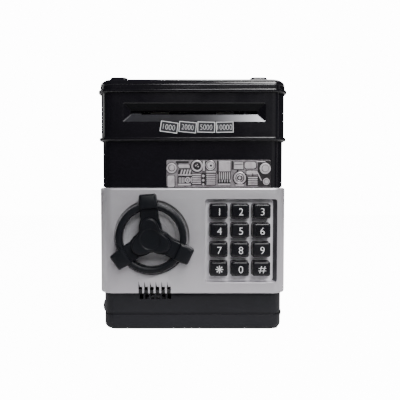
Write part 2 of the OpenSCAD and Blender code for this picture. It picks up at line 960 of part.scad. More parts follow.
module key(k) {
    color([0.07, 0.07, 0.08]) {
        facing(key_x(k), flange_front + 0.2, key_z(k))
            linear_extrude(flange_front + 0.2 - y_face + key_proud)
                rounded_rect(key_w, key_h, 1.3);
        facing(key_x(k), flange_back, key_z(k))
            linear_extrude(key_flange_t)
                rounded_rect(key_w + 2 * key_flange, key_h + 2 * key_flange, 1.3);
    }
}

module keypad_membrane() {
    color([0.75, 0.75, 0.72]) {
        facing(recess_x, sheet_front + sheet_t, recess_z)
            linear_extrude(sheet_t)
                rounded_rect(2 * (post_x - post_r) - 0.6, 2 * post_z - 1, 1);
        for (k = [0 : 11])
            rod_y(key_x(k), key_z(k), dome_front, sheet_front + 0.3, 3.2);
    }
}

module keypad_board() {
    color("darkgreen")
        difference() {
            facing(recess_x, pcb_front + pcb_t, recess_z)
                linear_extrude(pcb_t)
                    rounded_rect(pcb_w, pcb_h, 1);
            for (x = [-1, 1], z = [-1, 1])
                rod_y(recess_x + x * post_x, recess_z + z * post_z, pcb_front - 1, pcb_front + pcb_t + 1, 1);
        }
}

module keypad_screws() {
    color("silver")
        for (x = [-1, 1], z = [-1, 1])
            facing(recess_x + x * post_x, pcb_front + pcb_t + 1, recess_z + z * post_z)
                difference() {
                    union() {
                        cylinder(r = 1.6, h = 1);
                        translate([0, 0, 0.9])
                            cylinder(r = 0.85, h = 4.6);
                    }
                    cross_slot(-0.1, 0.5, 2);
                }
}

module solenoid_frame() {
    x0 = yoke_x;
    y0 = plunger_y - yoke_d / 2;
    z0 = wheel_z - yoke_h / 2;
    color("silver")
        difference() {
            block([x0, cup_back, z0], [x0 + yoke_l, y0 + yoke_d, z0 + yoke_h]);
            block([x0 + 1, y0 + 0.2, z0 + 1], [x0 + yoke_l - 1, y0 + yoke_d + 1, z0 + yoke_h - 1]);
            rod_x(plunger_y, wheel_z, x0 - 1, x0 + 3, plunger_r + fit);
        }
}

module solenoid_coil() {
    color("peru")
        difference() {
            rod_x(plunger_y, wheel_z, yoke_x + 1.1, yoke_x + yoke_l - 1.1, yoke_h / 2 - 1.1);
            rod_x(plunger_y, wheel_z, yoke_x, yoke_x + yoke_l - 2.4, plunger_r + fit);
        }
}

module plunger() {
    color([0.8, 0.8, 0.8]) {
        rod_x(plunger_y, wheel_z, plunger_x + 0.2, yoke_x + 9, plunger_r);
        rod_x(plunger_y, wheel_z, plunger_x, plunger_x + plunger_head_t, plunger_head_r);
    }
}

module plunger_spring() {
    x0 = plunger_x + plunger_head_t + 0.05;
    color("silver")
        translate([x0, plunger_y, wheel_z])
            rotate([0, 90, 0])
                coil_spring(2.1, 0.25, 5, yoke_x - x0 - 0.05);
}

// three arms at the wheel's rest angle
module at_arms() {
    for (a = [0, 120, 240])
        rotate(90 + wheel_turn + a)
            children();
}

module hand_wheel() {
    color([0.05, 0.05, 0.06])
        difference() {
            union() {
                facing(wheel_x, wheel_back, wheel_z) {
                    linear_extrude(ring_t)
                        difference() {
                            circle(wheel_r);
                            circle(wheel_r - ring_w);
                        }
                    cylinder(r = hub_r, h = hub_t);
                    translate([0, 0, 0.4])
                        linear_extrude(ring_t - 0.8)
                            at_arms()
                                translate([0, -spoke_w / 2])
                                    square([wheel_r - 1, spoke_w]);
                    translate([0, 0, 0.2])
                        linear_extrude(knob_t - 0.2)
                            at_arms()
                                translate([wheel_r - ring_w + 0.6, -knob_w / 2])
                                    square([knob_r - wheel_r + ring_w - 0.6, knob_w]);
                }
                rod_y(wheel_x, wheel_z, wheel_back - 1, wheel_back + dish_deep - 0.4, 7);
            }
            rod_y(wheel_x, wheel_z, wheel_back - hub_t + 2, wheel_back + dish_deep + 1, shaft_r + 0.02);
        }
}

module hub_cap() {
    color([0.06, 0.06, 0.07])
        facing(wheel_x, wheel_back - hub_t, wheel_z)
            linear_extrude(cap_t) {
                circle(hub_r + 0.4);
                at_arms() {
                    translate([0, -cap_lobe_r])
                        square([hub_r, 2 * cap_lobe_r]);
                    translate([hub_r, 0])
                        circle(cap_lobe_r);
                }
            }
}

module latch_shaft() {
    y1 = finger_y + finger_t + 1.6;
    color("silver") {
        rod_y(wheel_x, wheel_z, wheel_back - hub_t + 2.2, y1 - 1.2, shaft_r);
        rod_y(wheel_x, wheel_z, y1 - 1.5, y1, shaft_r + 1.4);
    }
}

module latch_finger() {
    color([0.75, 0.75, 0.78])
        difference() {
            facing(wheel_x, finger_y + finger_t, wheel_z)
                linear_extrude(finger_t) {
                    circle(finger_w / 2 + 2);
                    translate([-finger_w / 2, 0])
                        square([finger_w, finger_l - finger_w / 2]);
                    translate([0, finger_l - finger_w / 2])
                        circle(finger_w / 2);
                }
            rod_y(wheel_x, wheel_z, finger_y - 1, finger_y + finger_t + 1, shaft_r + 0.02);
        }
}

module lock_disc() {
    color("white")
        facing(wheel_x, disc_y, wheel_z)
            linear_extrude(disc_t)
                difference() {
                    circle(disc_r);
                    circle(shaft_r + 0.02);
                    for (a = [0, -90])
                        rotate(a)
                            translate([disc_r - notch_deep, -notch_w / 2])
                                square([notch_deep + 1, notch_w]);
                }
}

module roller_shaft() {
    color("silver")
        rod_x(feed_y, feed_z, -feeder_half - cheek_t - 2, big_gear_x - 0.4, shaft_feed_r);
}

module feed_rollers() {
    color([0.15, 0.15, 0.15])
        for (s = [-1, 1])
            difference() {
                rod_x(feed_y, feed_z, s * roller_x - roller_w / 2, s * roller_x + roller_w / 2, roller_r);
                rod_x(feed_y, feed_z, s * roller_x - roller_w, s * roller_x + roller_w, shaft_feed_r + 0.02);
            }
}

module roller_gear() {
    color("white")
        translate([0, feed_y, feed_z])
            gear_x_axis(roller_teeth, 0, gear_x, gear_t, shaft_feed_r + 0.02);
}

module pinch_roller() {
    color([0.85, 0.85, 0.85]) {
        rod_x(feed_y, pinch_z, -feeder_half - cheek_t - 1, feeder_half + cheek_t + 0.6, pinch_pin_r);
        for (s = [-1, 1])
            rod_x(feed_y, pinch_z, s * roller_x - roller_w / 2, s * roller_x + roller_w / 2, pinch_r);
    }
}

module idler_gear() {
    color("white")
        translate([0, idler_y, feed_z]) {
            gear_x_axis(idler_small, 180 / idler_small, gear_x, gear_t + 0.6, idler_pin_r + fit);
            gear_x_axis(idler_big, 0, big_gear_x, big_gear_t, idler_pin_r + fit);
        }
}

module motor_pinion() {
    color("gold")
        translate([0, motor_y, feed_z]) {
            gear_x_axis(pinion_teeth, 0, big_gear_x - 0.3, big_gear_t + 0.8, motor_shaft_r - 0.2);
            rod_x(0, 0, feeder_half - 11, big_gear_x + big_gear_t + 1.5, motor_shaft_r);
        }
}

base_tray();
inner_floor();
battery_door();
battery_door_screw();
battery_cells();
battery_springs();
battery_plates();
battery_leads();
main_board();
board_parts();
speaker_frame();
speaker_cone();
body_shell();
strike_plate();
relief_plate();
case_screws();
upper_housing();
value_labels();
top_lid();
coin_chute();
feeder_frame();
feeder_screws();
note_guide();
note_sensor();
feed_motor();
idler_pin();
door_shell();
door_back();
door_screws();
hinge_pins();
keypad_membrane();
keypad_board();
keypad_screws();
solenoid_frame();
solenoid_coil();
plunger();
plunger_spring();
hand_wheel();
hub_cap();
latch_shaft();
latch_finger();
lock_disc();
key(0);  // key_1
key(1);  // key_2
key(2);  // key_3
key(3);  // key_4
key(4);  // key_5
key(5);  // key_6
key(6);  // key_7
key(7);  // key_8
key(8);  // key_9
key(9);  // key_star
key(10);  // key_0
key(11);  // key_hash
roller_shaft();
feed_rollers();
roller_gear();
pinch_roller();
idler_gear();
motor_pinion();
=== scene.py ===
# Toy cash-machine savings bank as an add-on: sizes and colours in property groups, one operator per piece.
import math
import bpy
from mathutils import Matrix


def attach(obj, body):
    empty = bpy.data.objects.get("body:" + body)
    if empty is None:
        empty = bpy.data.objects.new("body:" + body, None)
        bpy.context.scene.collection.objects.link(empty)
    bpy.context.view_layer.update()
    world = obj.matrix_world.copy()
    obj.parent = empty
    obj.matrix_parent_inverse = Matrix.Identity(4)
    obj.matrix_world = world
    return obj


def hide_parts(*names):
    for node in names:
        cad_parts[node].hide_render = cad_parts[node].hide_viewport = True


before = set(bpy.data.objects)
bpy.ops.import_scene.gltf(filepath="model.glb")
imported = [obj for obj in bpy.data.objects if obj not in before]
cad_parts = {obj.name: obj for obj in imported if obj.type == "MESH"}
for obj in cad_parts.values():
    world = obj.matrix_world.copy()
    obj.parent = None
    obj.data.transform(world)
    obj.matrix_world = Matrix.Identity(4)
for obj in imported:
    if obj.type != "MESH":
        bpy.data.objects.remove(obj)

from types import SimpleNamespace

import bmesh
import bpy
from mathutils import Matrix, Vector

bl_info = {
    "name": "Toy Savings Bank",
    "version": (1, 0, 0),
    "blender": (4, 5, 0),
    "location": "View3D > Sidebar > Bank",
    "description": "Builds the visible pieces of a toy cash-machine savings bank around its CAD frame",
    "category": "Add Mesh",
}

MM = 0.001
FACING = Matrix.Rotation(math.radians(90), 4, "X")  # stands a flat drawing up so that its height faces the front
QUARTER = math.pi / 2


# ---------------------------------------------------------------- sizes and colours


class BankSizes(bpy.types.PropertyGroup):
    """Outer sizes of the bank, the same values as in the CAD source."""

    body_w: bpy.props.FloatProperty(
        name="Body width", description="Width of the black body", default=0.134, min=0.12, max=0.17, unit="LENGTH")
    body_d: bpy.props.FloatProperty(
        name="Body depth", description="Depth of the black body", default=0.104, min=0.095, max=0.13, unit="LENGTH")
    corner_r: bpy.props.FloatProperty(
        name="Corner radius", description="Radius of the body's upright corners", default=0.009, min=0.005,
        max=0.012, unit="LENGTH")
    wall: bpy.props.FloatProperty(
        name="Wall", description="Thickness of the moulded walls", default=0.0024, min=0.0015, max=0.003,
        unit="LENGTH")
    base_h: bpy.props.FloatProperty(
        name="Base height", description="Height of the bottom tray", default=0.029, min=0.025, max=0.036,
        unit="LENGTH")
    door_h: bpy.props.FloatProperty(
        name="Door height", description="Height of the silver door", default=0.0768, min=0.07, max=0.095,
        unit="LENGTH")
    mid_h: bpy.props.FloatProperty(
        name="Middle height", description="From the shelf over the door to the bead line", default=0.0341, min=0.03,
        max=0.042, unit="LENGTH")
    housing_h: bpy.props.FloatProperty(
        name="Housing height", description="From the bead line to the flange under the lid", default=0.0322, min=0.03,
        max=0.04, unit="LENGTH")
    bead_h: bpy.props.FloatProperty(
        name="Bead height", description="Height of the bead line and of the flange", default=0.0026, min=0.002,
        max=0.0032, unit="LENGTH")
    lid_h: bpy.props.FloatProperty(
        name="Lid height", description="Height of the lid without its rails", default=0.0079, min=0.007, max=0.01,
        unit="LENGTH")
    door_proud: bpy.props.FloatProperty(
        name="Door proud", description="How far the door stands out from the body's front", default=0.0063, min=0.005,
        max=0.008, unit="LENGTH")
    door_t: bpy.props.FloatProperty(
        name="Door depth", description="Thickness of the whole door", default=0.0206, min=0.02, max=0.024,
        unit="LENGTH")
    keypad_depth: bpy.props.FloatProperty(
        name="Keypad depth", description="Depth of the pocket that holds the keys", default=0.0065, min=0.004,
        max=0.007, unit="LENGTH")
    wheel_r: bpy.props.FloatProperty(
        name="Wheel radius", description="Outer radius of the hand wheel's ring", default=0.0254, min=0.02,
        max=0.027, unit="LENGTH")
    knob_r: bpy.props.FloatProperty(
        name="Knob radius", description="Reach of the wheel's knobs from its centre", default=0.0315, min=0.03,
        max=0.033, unit="LENGTH")
    wheel_turn: bpy.props.FloatProperty(
        name="Wheel turn", description="How far the top arm leans to the left at rest", default=math.radians(4.5),
        min=0, max=math.radians(10), subtype="ANGLE")


class BankColours(bpy.types.PropertyGroup):
    """Main colours of the bank."""

    gloss: bpy.props.FloatVectorProperty(
        name="Gloss black", description="Body, upper housing and lid", subtype="COLOR", size=3,
        default=(0.006, 0.0055, 0.0075))
    satin: bpy.props.FloatVectorProperty(
        name="Satin black", description="Base tray and battery door", subtype="COLOR", size=3,
        default=(0.010, 0.010, 0.0135))
    silver: bpy.props.FloatVectorProperty(
        name="Silver", description="Sprayed face of the door", subtype="COLOR", size=3, default=(0.59, 0.585, 0.605))
    wheel: bpy.props.FloatVectorProperty(
        name="Wheel", description="Hand wheel and its hub", subtype="COLOR", size=3, default=(0.0045, 0.005, 0.0065))
    print_white: bpy.props.FloatVectorProperty(
        name="Print", description="Figures on the keys and the labels", subtype="COLOR", size=3,
        default=(0.82, 0.82, 0.82))


class Plan:
    """Places worked out from the sizes, all in millimetres."""

    key_pitch = (15.5, 13.95)
    gap = 0.4          # between the door and what is over and under it
    door_back_gap = 0.3
    house_step = 1.1   # how far the upper housing stands out from the body
    hinge_r = 8        # from the hinge's axis to the door's edge
    slot_x = 1.2       # middle of the note slot
    relief_w = 76.4
    relief_h = 19.9

    def __init__(self, sizes):
        lengths = [key for key in BankSizes.__annotations__ if key != "wheel_turn"]
        self.s = s = SimpleNamespace(**{key: round(getattr(sizes, key) / MM, 4) for key in lengths})
        self.z_base = s.base_h
        self.z_door = s.base_h + self.gap
        self.z_door_top = self.z_door + s.door_h
        self.z_mid = self.z_door_top + self.gap
        self.z_bead = self.z_mid + s.mid_h
        self.z_house = self.z_bead + s.bead_h
        self.z_flange = self.z_house + s.housing_h
        self.z_lid = self.z_flange + s.bead_h
        self.z_top = self.z_lid + s.lid_h
        self.y_front = -s.body_d / 2
        self.y_face = self.y_front - s.door_proud
        self.y_back = self.y_face + s.door_t
        self.y_frame = self.y_back + self.door_back_gap
        self.y_house = self.y_front - self.house_step
        self.door_w = s.body_w + 2
        self.hinge = (self.door_w / 2 - self.hinge_r, self.y_back - self.hinge_r)
        self.wheel = (-self.door_w / 2 + 38.4, self.z_door + 41.1)
        self.wheel_back = self.y_face - 1.2
        self.recess = (self.door_w / 2 - 32.8, self.z_door + 38.5)
        self.keys = (self.recess[0] - 0.8, self.recess[1] + 0.5)
        self.slot_z = self.z_house + 17.6
        self.slot_recess_z = self.z_house + 17.9
        self.relief = (19, self.z_mid + 10.05)
        self.slits = [self.wheel[0] + 2 + (i - 2.5) * 4.13 for i in range(6)]
        self.arm_turns = [math.radians(90 + a) + sizes.wheel_turn for a in (0, 120, 240)]

    def key(self, k):
        """Centre of key k, counted from the top left."""
        wide, high = self.key_pitch
        return self.keys[0] + (k % 3 - 1) * wide, self.keys[1] + (1.5 - k // 3) * high


# ---------------------------------------------------------------- mesh helpers


def arc(cx, cy, r, start, n=14):
    """Points of a quarter circle, anticlockwise from start degrees."""
    turns = [math.radians(start + 90 * i / n) for i in range(n + 1)]
    return [(cx + r * math.cos(a), cy + r * math.sin(a)) for a in turns]


def rounded(w, d, r, n=16, cx=0.0, cy=0.0):
    """Points of a rounded rectangle, anticlockwise."""
    x, y = w / 2 - r, d / 2 - r
    return [*arc(cx + x, cy + y, r, 0, n), *arc(cx - x, cy + y, r, 90, n),
            *arc(cx - x, cy - y, r, 180, n), *arc(cx + x, cy - y, r, 270, n)]


def circle(r, n=64, cx=0.0, cy=0.0):
    """Points of a circle, anticlockwise."""
    return [(cx + r * math.cos(math.tau * i / n), cy + r * math.sin(math.tau * i / n)) for i in range(n)]


def quarter(n):
    """Sine and cosine at n + 1 even steps of a quarter turn."""
    return [(math.sin(QUARTER * i / n), math.cos(QUARTER * i / n)) for i in range(n + 1)]


def loft(bm, rings, closed=False, place=None):
    """Skins rings of (points, height). The ends are capped, or joined to each other when closed."""
    place = place or Matrix.Identity(4)
    rows = [[bm.verts.new(place @ Vector((x, y, z))) for x, y in points] for points, z in rings]
    pairs = list(zip(rows, rows[1:])) + ([(rows[-1], rows[0])] if closed else [])
    for low, high in pairs:
        n = len(low)
        for i in range(n):
            bm.faces.new((low[i], low[(i + 1) % n], high[(i + 1) % n], high[i]))
    if not closed:
        bm.faces.new(list(reversed(rows[0])))
        bm.faces.new(rows[-1])


def settle(bm):
    """Turns every face outwards."""
    bmesh.ops.recalc_face_normals(bm, faces=bm.faces[:])


def to_object(bm, name="work"):
    """Ends a bmesh as an object of the scene."""
    settle(bm)
    mesh = bpy.data.meshes.new(name)
    bm.to_mesh(mesh)
    bm.free()
    obj = bpy.data.objects.new(name, mesh)
    bpy.context.scene.collection.objects.link(obj)
    return obj


def solid(rings, place=None, closed=False):
    """A closed solid through rings of (points, height)."""
    bm = bmesh.new()
    loft(bm, rings, closed, place)
    return to_object(bm)


def block(low, high):
    """A box between two corners."""
    low, high = Vector(low), Vector(high)
    bm = bmesh.new()
    place = Matrix.Translation((low + high) / 2) @ Matrix.Diagonal((*(high - low), 1))
    bmesh.ops.create_cube(bm, size=1, matrix=place)
    return to_object(bm)


def rod(place, length, r, n):
    """A cylinder along the Z of place, with its middle there."""
    bm = bmesh.new()
    bmesh.ops.create_cone(bm, cap_ends=True, segments=n, radius1=r, radius2=r, depth=length, matrix=place)
    return to_object(bm)


def rod_y(x, z, y0, y1, r, n=64):
    """A cylinder from front to back."""
    return rod(Matrix.Translation((x, (y0 + y1) / 2, z)) @ FACING, y1 - y0, r, n)


def rod_z(x, y, z0, z1, r, n=48):
    """An upright cylinder."""
    return rod(Matrix.Translation((x, y, (z0 + z1) / 2)), z1 - z0, r, n)


def baked(obj):
    """Replaces obj's mesh by what its modifiers make of it."""
    bpy.context.view_layer.update()
    graph = bpy.context.evaluated_depsgraph_get()
    mesh = bpy.data.meshes.new_from_object(obj.evaluated_get(graph))
    obj.modifiers.clear()
    old = obj.data
    obj.data = mesh
    bpy.data.meshes.remove(old)
    return obj


def drop(obj):
    """Removes an object that was only a tool."""
    mesh = obj.data
    bpy.data.objects.remove(obj)
    bpy.data.meshes.remove(mesh)


def combine(obj, others, operation):
    """Applies one boolean operation on obj with each of the others."""
    for other in others:
        mod = obj.modifiers.new("bool", "BOOLEAN")
        mod.solver = "MANIFOLD"
        mod.operation = operation
        mod.object = other
    return baked(obj)


def carve(obj, others, operation="DIFFERENCE"):
    """Takes the other solids from obj, or adds them, and removes them."""
    combine(obj, others, operation)
    for other in others:
        drop(other)
    return obj


def add(obj, others):
    """Joins the other solids to obj."""
    return carve(obj, others, "UNION")


def merged(objects):
    """Joins separate solids into one mesh without cutting them."""
    bm = bmesh.new()
    for obj in objects:
        bm.from_mesh(obj.data)
    for obj in objects:
        drop(obj)
    return to_object(bm)


def clean(obj):
    """Joins what booleans left split and merges flat faces."""
    bm = bmesh.new()
    bm.from_mesh(obj.data)
    bmesh.ops.remove_doubles(bm, verts=bm.verts[:], dist=0.004)
    bmesh.ops.dissolve_degenerate(bm, dist=0.003, edges=bm.edges[:])
    bmesh.ops.dissolve_limit(bm, angle_limit=math.radians(0.5), verts=bm.verts[:], edges=bm.edges[:])
    bmesh.ops.triangulate(bm, faces=[f for f in bm.faces if len(f.verts) > 4])
    bmesh.ops.dissolve_degenerate(bm, dist=0.001, edges=bm.edges[:])
    settle(bm)
    bm.to_mesh(obj.data)
    bm.free()
    return obj


def soften(obj, width, segments=3, angle=35):
    """Rounds every edge sharper than angle."""
    bm = bmesh.new()
    bm.from_mesh(obj.data)
    bmesh.ops.remove_doubles(bm, verts=bm.verts[:], dist=0.004)
    bmesh.ops.dissolve_limit(bm, angle_limit=math.radians(0.6), verts=bm.verts[:], edges=bm.edges[:])
    settle(bm)
    bm.to_mesh(obj.data)
    bm.free()
    mod = obj.modifiers.new("edges", "BEVEL")
    mod.width = width
    mod.segments = segments
    mod.limit_method = "ANGLE"
    mod.angle_limit = math.radians(angle)
    mod.use_clamp_overlap = True
    mod.harden_normals = False
    return clean(baked(obj))


def paint(obj, index, test):
    """Gives the faces for which test(centre, normal) holds another material slot."""
    for face in obj.data.polygons:
        if test(face.center, face.normal):
            face.material_index = index


def finished(obj, name, finishes, body, replaces=(), angle=40):
    """Scales the mesh to metres, smooths it and hands the piece to its body."""
    obj.data.transform(Matrix.Scale(MM, 4))
    obj.name = name
    obj.data.name = name
    index = [face.material_index for face in obj.data.polygons]
    obj.data.materials.clear()
    kinds = finishes.split()
    for kind in kinds:
        obj.data.materials.append(palette(kind))
    if len(kinds) > 1:
        obj.data.polygons.foreach_set("material_index", index)
    obj.data.polygons.foreach_set("use_smooth", [True] * len(obj.data.polygons))
    obj.data.set_sharp_from_angle(angle=math.radians(angle))
    mod = obj.modifiers.new("shading", "WEIGHTED_NORMAL")
    mod.keep_sharp = True
    mod.weight = 60
    baked(obj)
    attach(obj, body)
    if replaces:
        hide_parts(*replaces)
    return obj


def copied(node):
    """A copy of a CAD node's mesh in millimetres, with its vertices joined."""
    bm = bmesh.new()
    bm.from_mesh(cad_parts[node].data)
    bmesh.ops.scale(bm, vec=(1 / MM,) * 3, verts=bm.verts[:])
    bmesh.ops.remove_doubles(bm, verts=bm.verts[:], dist=0.03)
    bmesh.ops.dissolve_degenerate(bm, dist=0.01, edges=bm.edges[:])
    return to_object(bm)


def lettering(text, wide, tall, x, z, y, thick=0.05, turn=0.0, thin=0.0):
    """Flat raised figures facing the front, centred on x and z and fitted to a width and a height."""
    curve = bpy.data.curves.new("figures", "FONT")
    curve.body = text
    curve.size = 10
    curve.offset = -thin
    curve.extrude = 0.5
    curve.resolution_u = 6
    obj = bpy.data.objects.new("figures", curve)
    bpy.context.scene.collection.objects.link(obj)
    bpy.context.view_layer.update()
    mesh = bpy.data.meshes.new_from_object(obj.evaluated_get(bpy.context.evaluated_depsgraph_get()))
    bpy.data.objects.remove(obj)
    bpy.data.curves.remove(curve)
    xs = [v.co.x for v in mesh.vertices]
    ys = [v.co.y for v in mesh.vertices]
    sy = tall / (max(ys) - min(ys))
    sx = wide / (max(xs) - min(xs)) if wide else sy
    mesh.transform(Matrix.Translation((-(min(xs) + max(xs)) / 2, -(min(ys) + max(ys)) / 2, 0)))
    mesh.transform(Matrix.Diagonal((sx, sy, thick, 1)))
    mesh.transform(Matrix.Translation((x, y - thick / 2, z)) @ FACING @ Matrix.Rotation(math.radians(turn), 4, "Z"))
    out = bpy.data.objects.new("figures", mesh)
    bpy.context.scene.collection.objects.link(out)
    return out


# ---------------------------------------------------------------- materials


def add_node(tree, kind, values=None, **settings):
    """A node with its settings and the values of its inputs."""
    n = tree.nodes.new(kind)
    for key, value in settings.items():
        setattr(n, key, value)
    for key, value in (values or {}).items():
        n.inputs[key].default_value = value
    return n


def wire(tree, *links):
    """Links sockets, each given as (node, output, node, input)."""
    for source, output, target, name in links:
        tree.links.new(source.outputs[output], target.inputs[name])


def new_group(name, inputs, output, kind="NodeSocketFloat"):
    """A node group with its sockets, its two end nodes and Object coordinates."""
    g = bpy.data.node_groups.new(name, "ShaderNodeTree")
    for label, value in inputs.items():
        socket = "NodeSocketColor" if isinstance(value, tuple) else "NodeSocketFloat"
        g.interface.new_socket(name=label, in_out="INPUT", socket_type=socket).default_value = value
    g.interface.new_socket(name=output, in_out="OUTPUT", socket_type=kind)
    start = g.nodes.new("NodeGroupInput")
    end = g.nodes.new("NodeGroupOutput")
    where = g.nodes.new("ShaderNodeTexCoord")
    return g, start, end, where


def grain_group(name):
    """Height of moulded or sprayed texture: fine cells over a slow orange peel."""
    g, start, end, where = new_group(name, {"Fine scale": 3000.0, "Slow scale": 260.0, "Mix": 0.5}, "Height")
    fine = add_node(g, "ShaderNodeTexVoronoi", feature="SMOOTH_F1")
    slow = add_node(g, "ShaderNodeTexNoise", {"Detail": 3.0, "Roughness": 0.55})
    mix = add_node(g, "ShaderNodeMix", data_type="FLOAT")
    wire(g, (where, "Object", fine, "Vector"), (where, "Object", slow, "Vector"),
         (start, "Fine scale", fine, "Scale"), (start, "Slow scale", slow, "Scale"), (start, "Mix", mix, 0),
         (fine, "Distance", mix, 2), (slow, "Fac", mix, 3), (mix, 0, end, "Height"))
    return g


def marks_group(name):
    """Roughness with smudges from fingers and fine rub marks."""
    g, start, end, where = new_group(name, {"Roughness": 0.3, "Smudge": 0.08, "Rub": 0.05}, "Result")
    smudge = add_node(g, "ShaderNodeTexNoise", {"Scale": 34.0, "Detail": 5.0, "Roughness": 0.62, "Distortion": 0.6})
    ramp = add_node(g, "ShaderNodeMapRange", {"From Min": 0.42, "From Max": 0.72})
    stretch = add_node(g, "ShaderNodeMapping", {"Scale": (900.0, 900.0, 70.0), "Rotation": (0.2, 0.35, 0.5)})
    rub = add_node(g, "ShaderNodeTexNoise", {"Scale": 1.0, "Detail": 2.0})
    thin = add_node(g, "ShaderNodeMapRange", {"From Min": 0.6, "From Max": 0.75})
    smudged = add_node(g, "ShaderNodeMath", operation="MULTIPLY_ADD")
    rubbed = add_node(g, "ShaderNodeMath", operation="MULTIPLY_ADD", use_clamp=True)
    wire(g, (where, "Object", smudge, "Vector"), (where, "Object", stretch, "Vector"), (stretch, 0, rub, "Vector"),
         (smudge, "Fac", ramp, "Value"), (rub, "Fac", thin, "Value"), (ramp, 0, smudged, 0),
         (start, "Smudge", smudged, 1), (start, "Roughness", smudged, 2), (thin, 0, rubbed, 0),
         (start, "Rub", rubbed, 1), (smudged, 0, rubbed, 2), (rubbed, 0, end, "Result"))
    return g


def tone_group(name):
    """Base colour with a slow drift, small specks and a little dust on what faces up."""
    inputs = {"Colour": (0.5, 0.5, 0.5, 1), "Second": (0.4, 0.4, 0.4, 1), "Scale": 25.0, "Dust": 0.1}
    g, start, end, where = new_group(name, inputs, "Result", "NodeSocketColor")
    drift = add_node(g, "ShaderNodeTexNoise", {"Detail": 6.0, "Roughness": 0.6})
    drift_range = add_node(g, "ShaderNodeMapRange", {"From Min": 0.35, "From Max": 0.65})
    blend = add_node(g, "ShaderNodeMix", data_type="RGBA")
    shape = g.nodes.new("ShaderNodeNewGeometry")
    split = g.nodes.new("ShaderNodeSeparateXYZ")
    up = add_node(g, "ShaderNodeMapRange", {"From Min": 0.6, "From Max": 1.0})
    specks = add_node(g, "ShaderNodeTexNoise", {"Scale": 420.0, "Detail": 4.0, "Roughness": 0.7})
    speck_range = add_node(g, "ShaderNodeMapRange", {"From Min": 0.52, "From Max": 0.8})
    settled = add_node(g, "ShaderNodeMath", operation="MULTIPLY")
    amount = add_node(g, "ShaderNodeMath", operation="MULTIPLY", use_clamp=True)
    dust = add_node(g, "ShaderNodeMix", {7: (0.42, 0.41, 0.39, 1.0)}, data_type="RGBA")
    wire(g, (where, "Object", drift, "Vector"), (start, "Scale", drift, "Scale"), (drift, "Fac", drift_range, "Value"),
         (drift_range, 0, blend, 0), (start, "Colour", blend, 6), (start, "Second", blend, 7),
         (shape, "Normal", split, 0), (split, "Z", up, "Value"), (where, "Object", specks, "Vector"),
         (specks, "Fac", speck_range, "Value"), (up, 0, settled, 0), (speck_range, 0, settled, 1),
         (settled, 0, amount, 0), (start, "Dust", amount, 1), (amount, 0, dust, 0), (blend, 2, dust, 6),
         (dust, 2, end, "Result"))
    return g


GROUPS = {"Surface grain": grain_group, "Handling marks": marks_group, "Colour drift": tone_group}


def placed(tree, name, values):
    """A group node in a material, with the group made on first use."""
    return add_node(tree, "ShaderNodeGroup", values, node_tree=bpy.data.node_groups.get(name) or GROUPS[name](name))


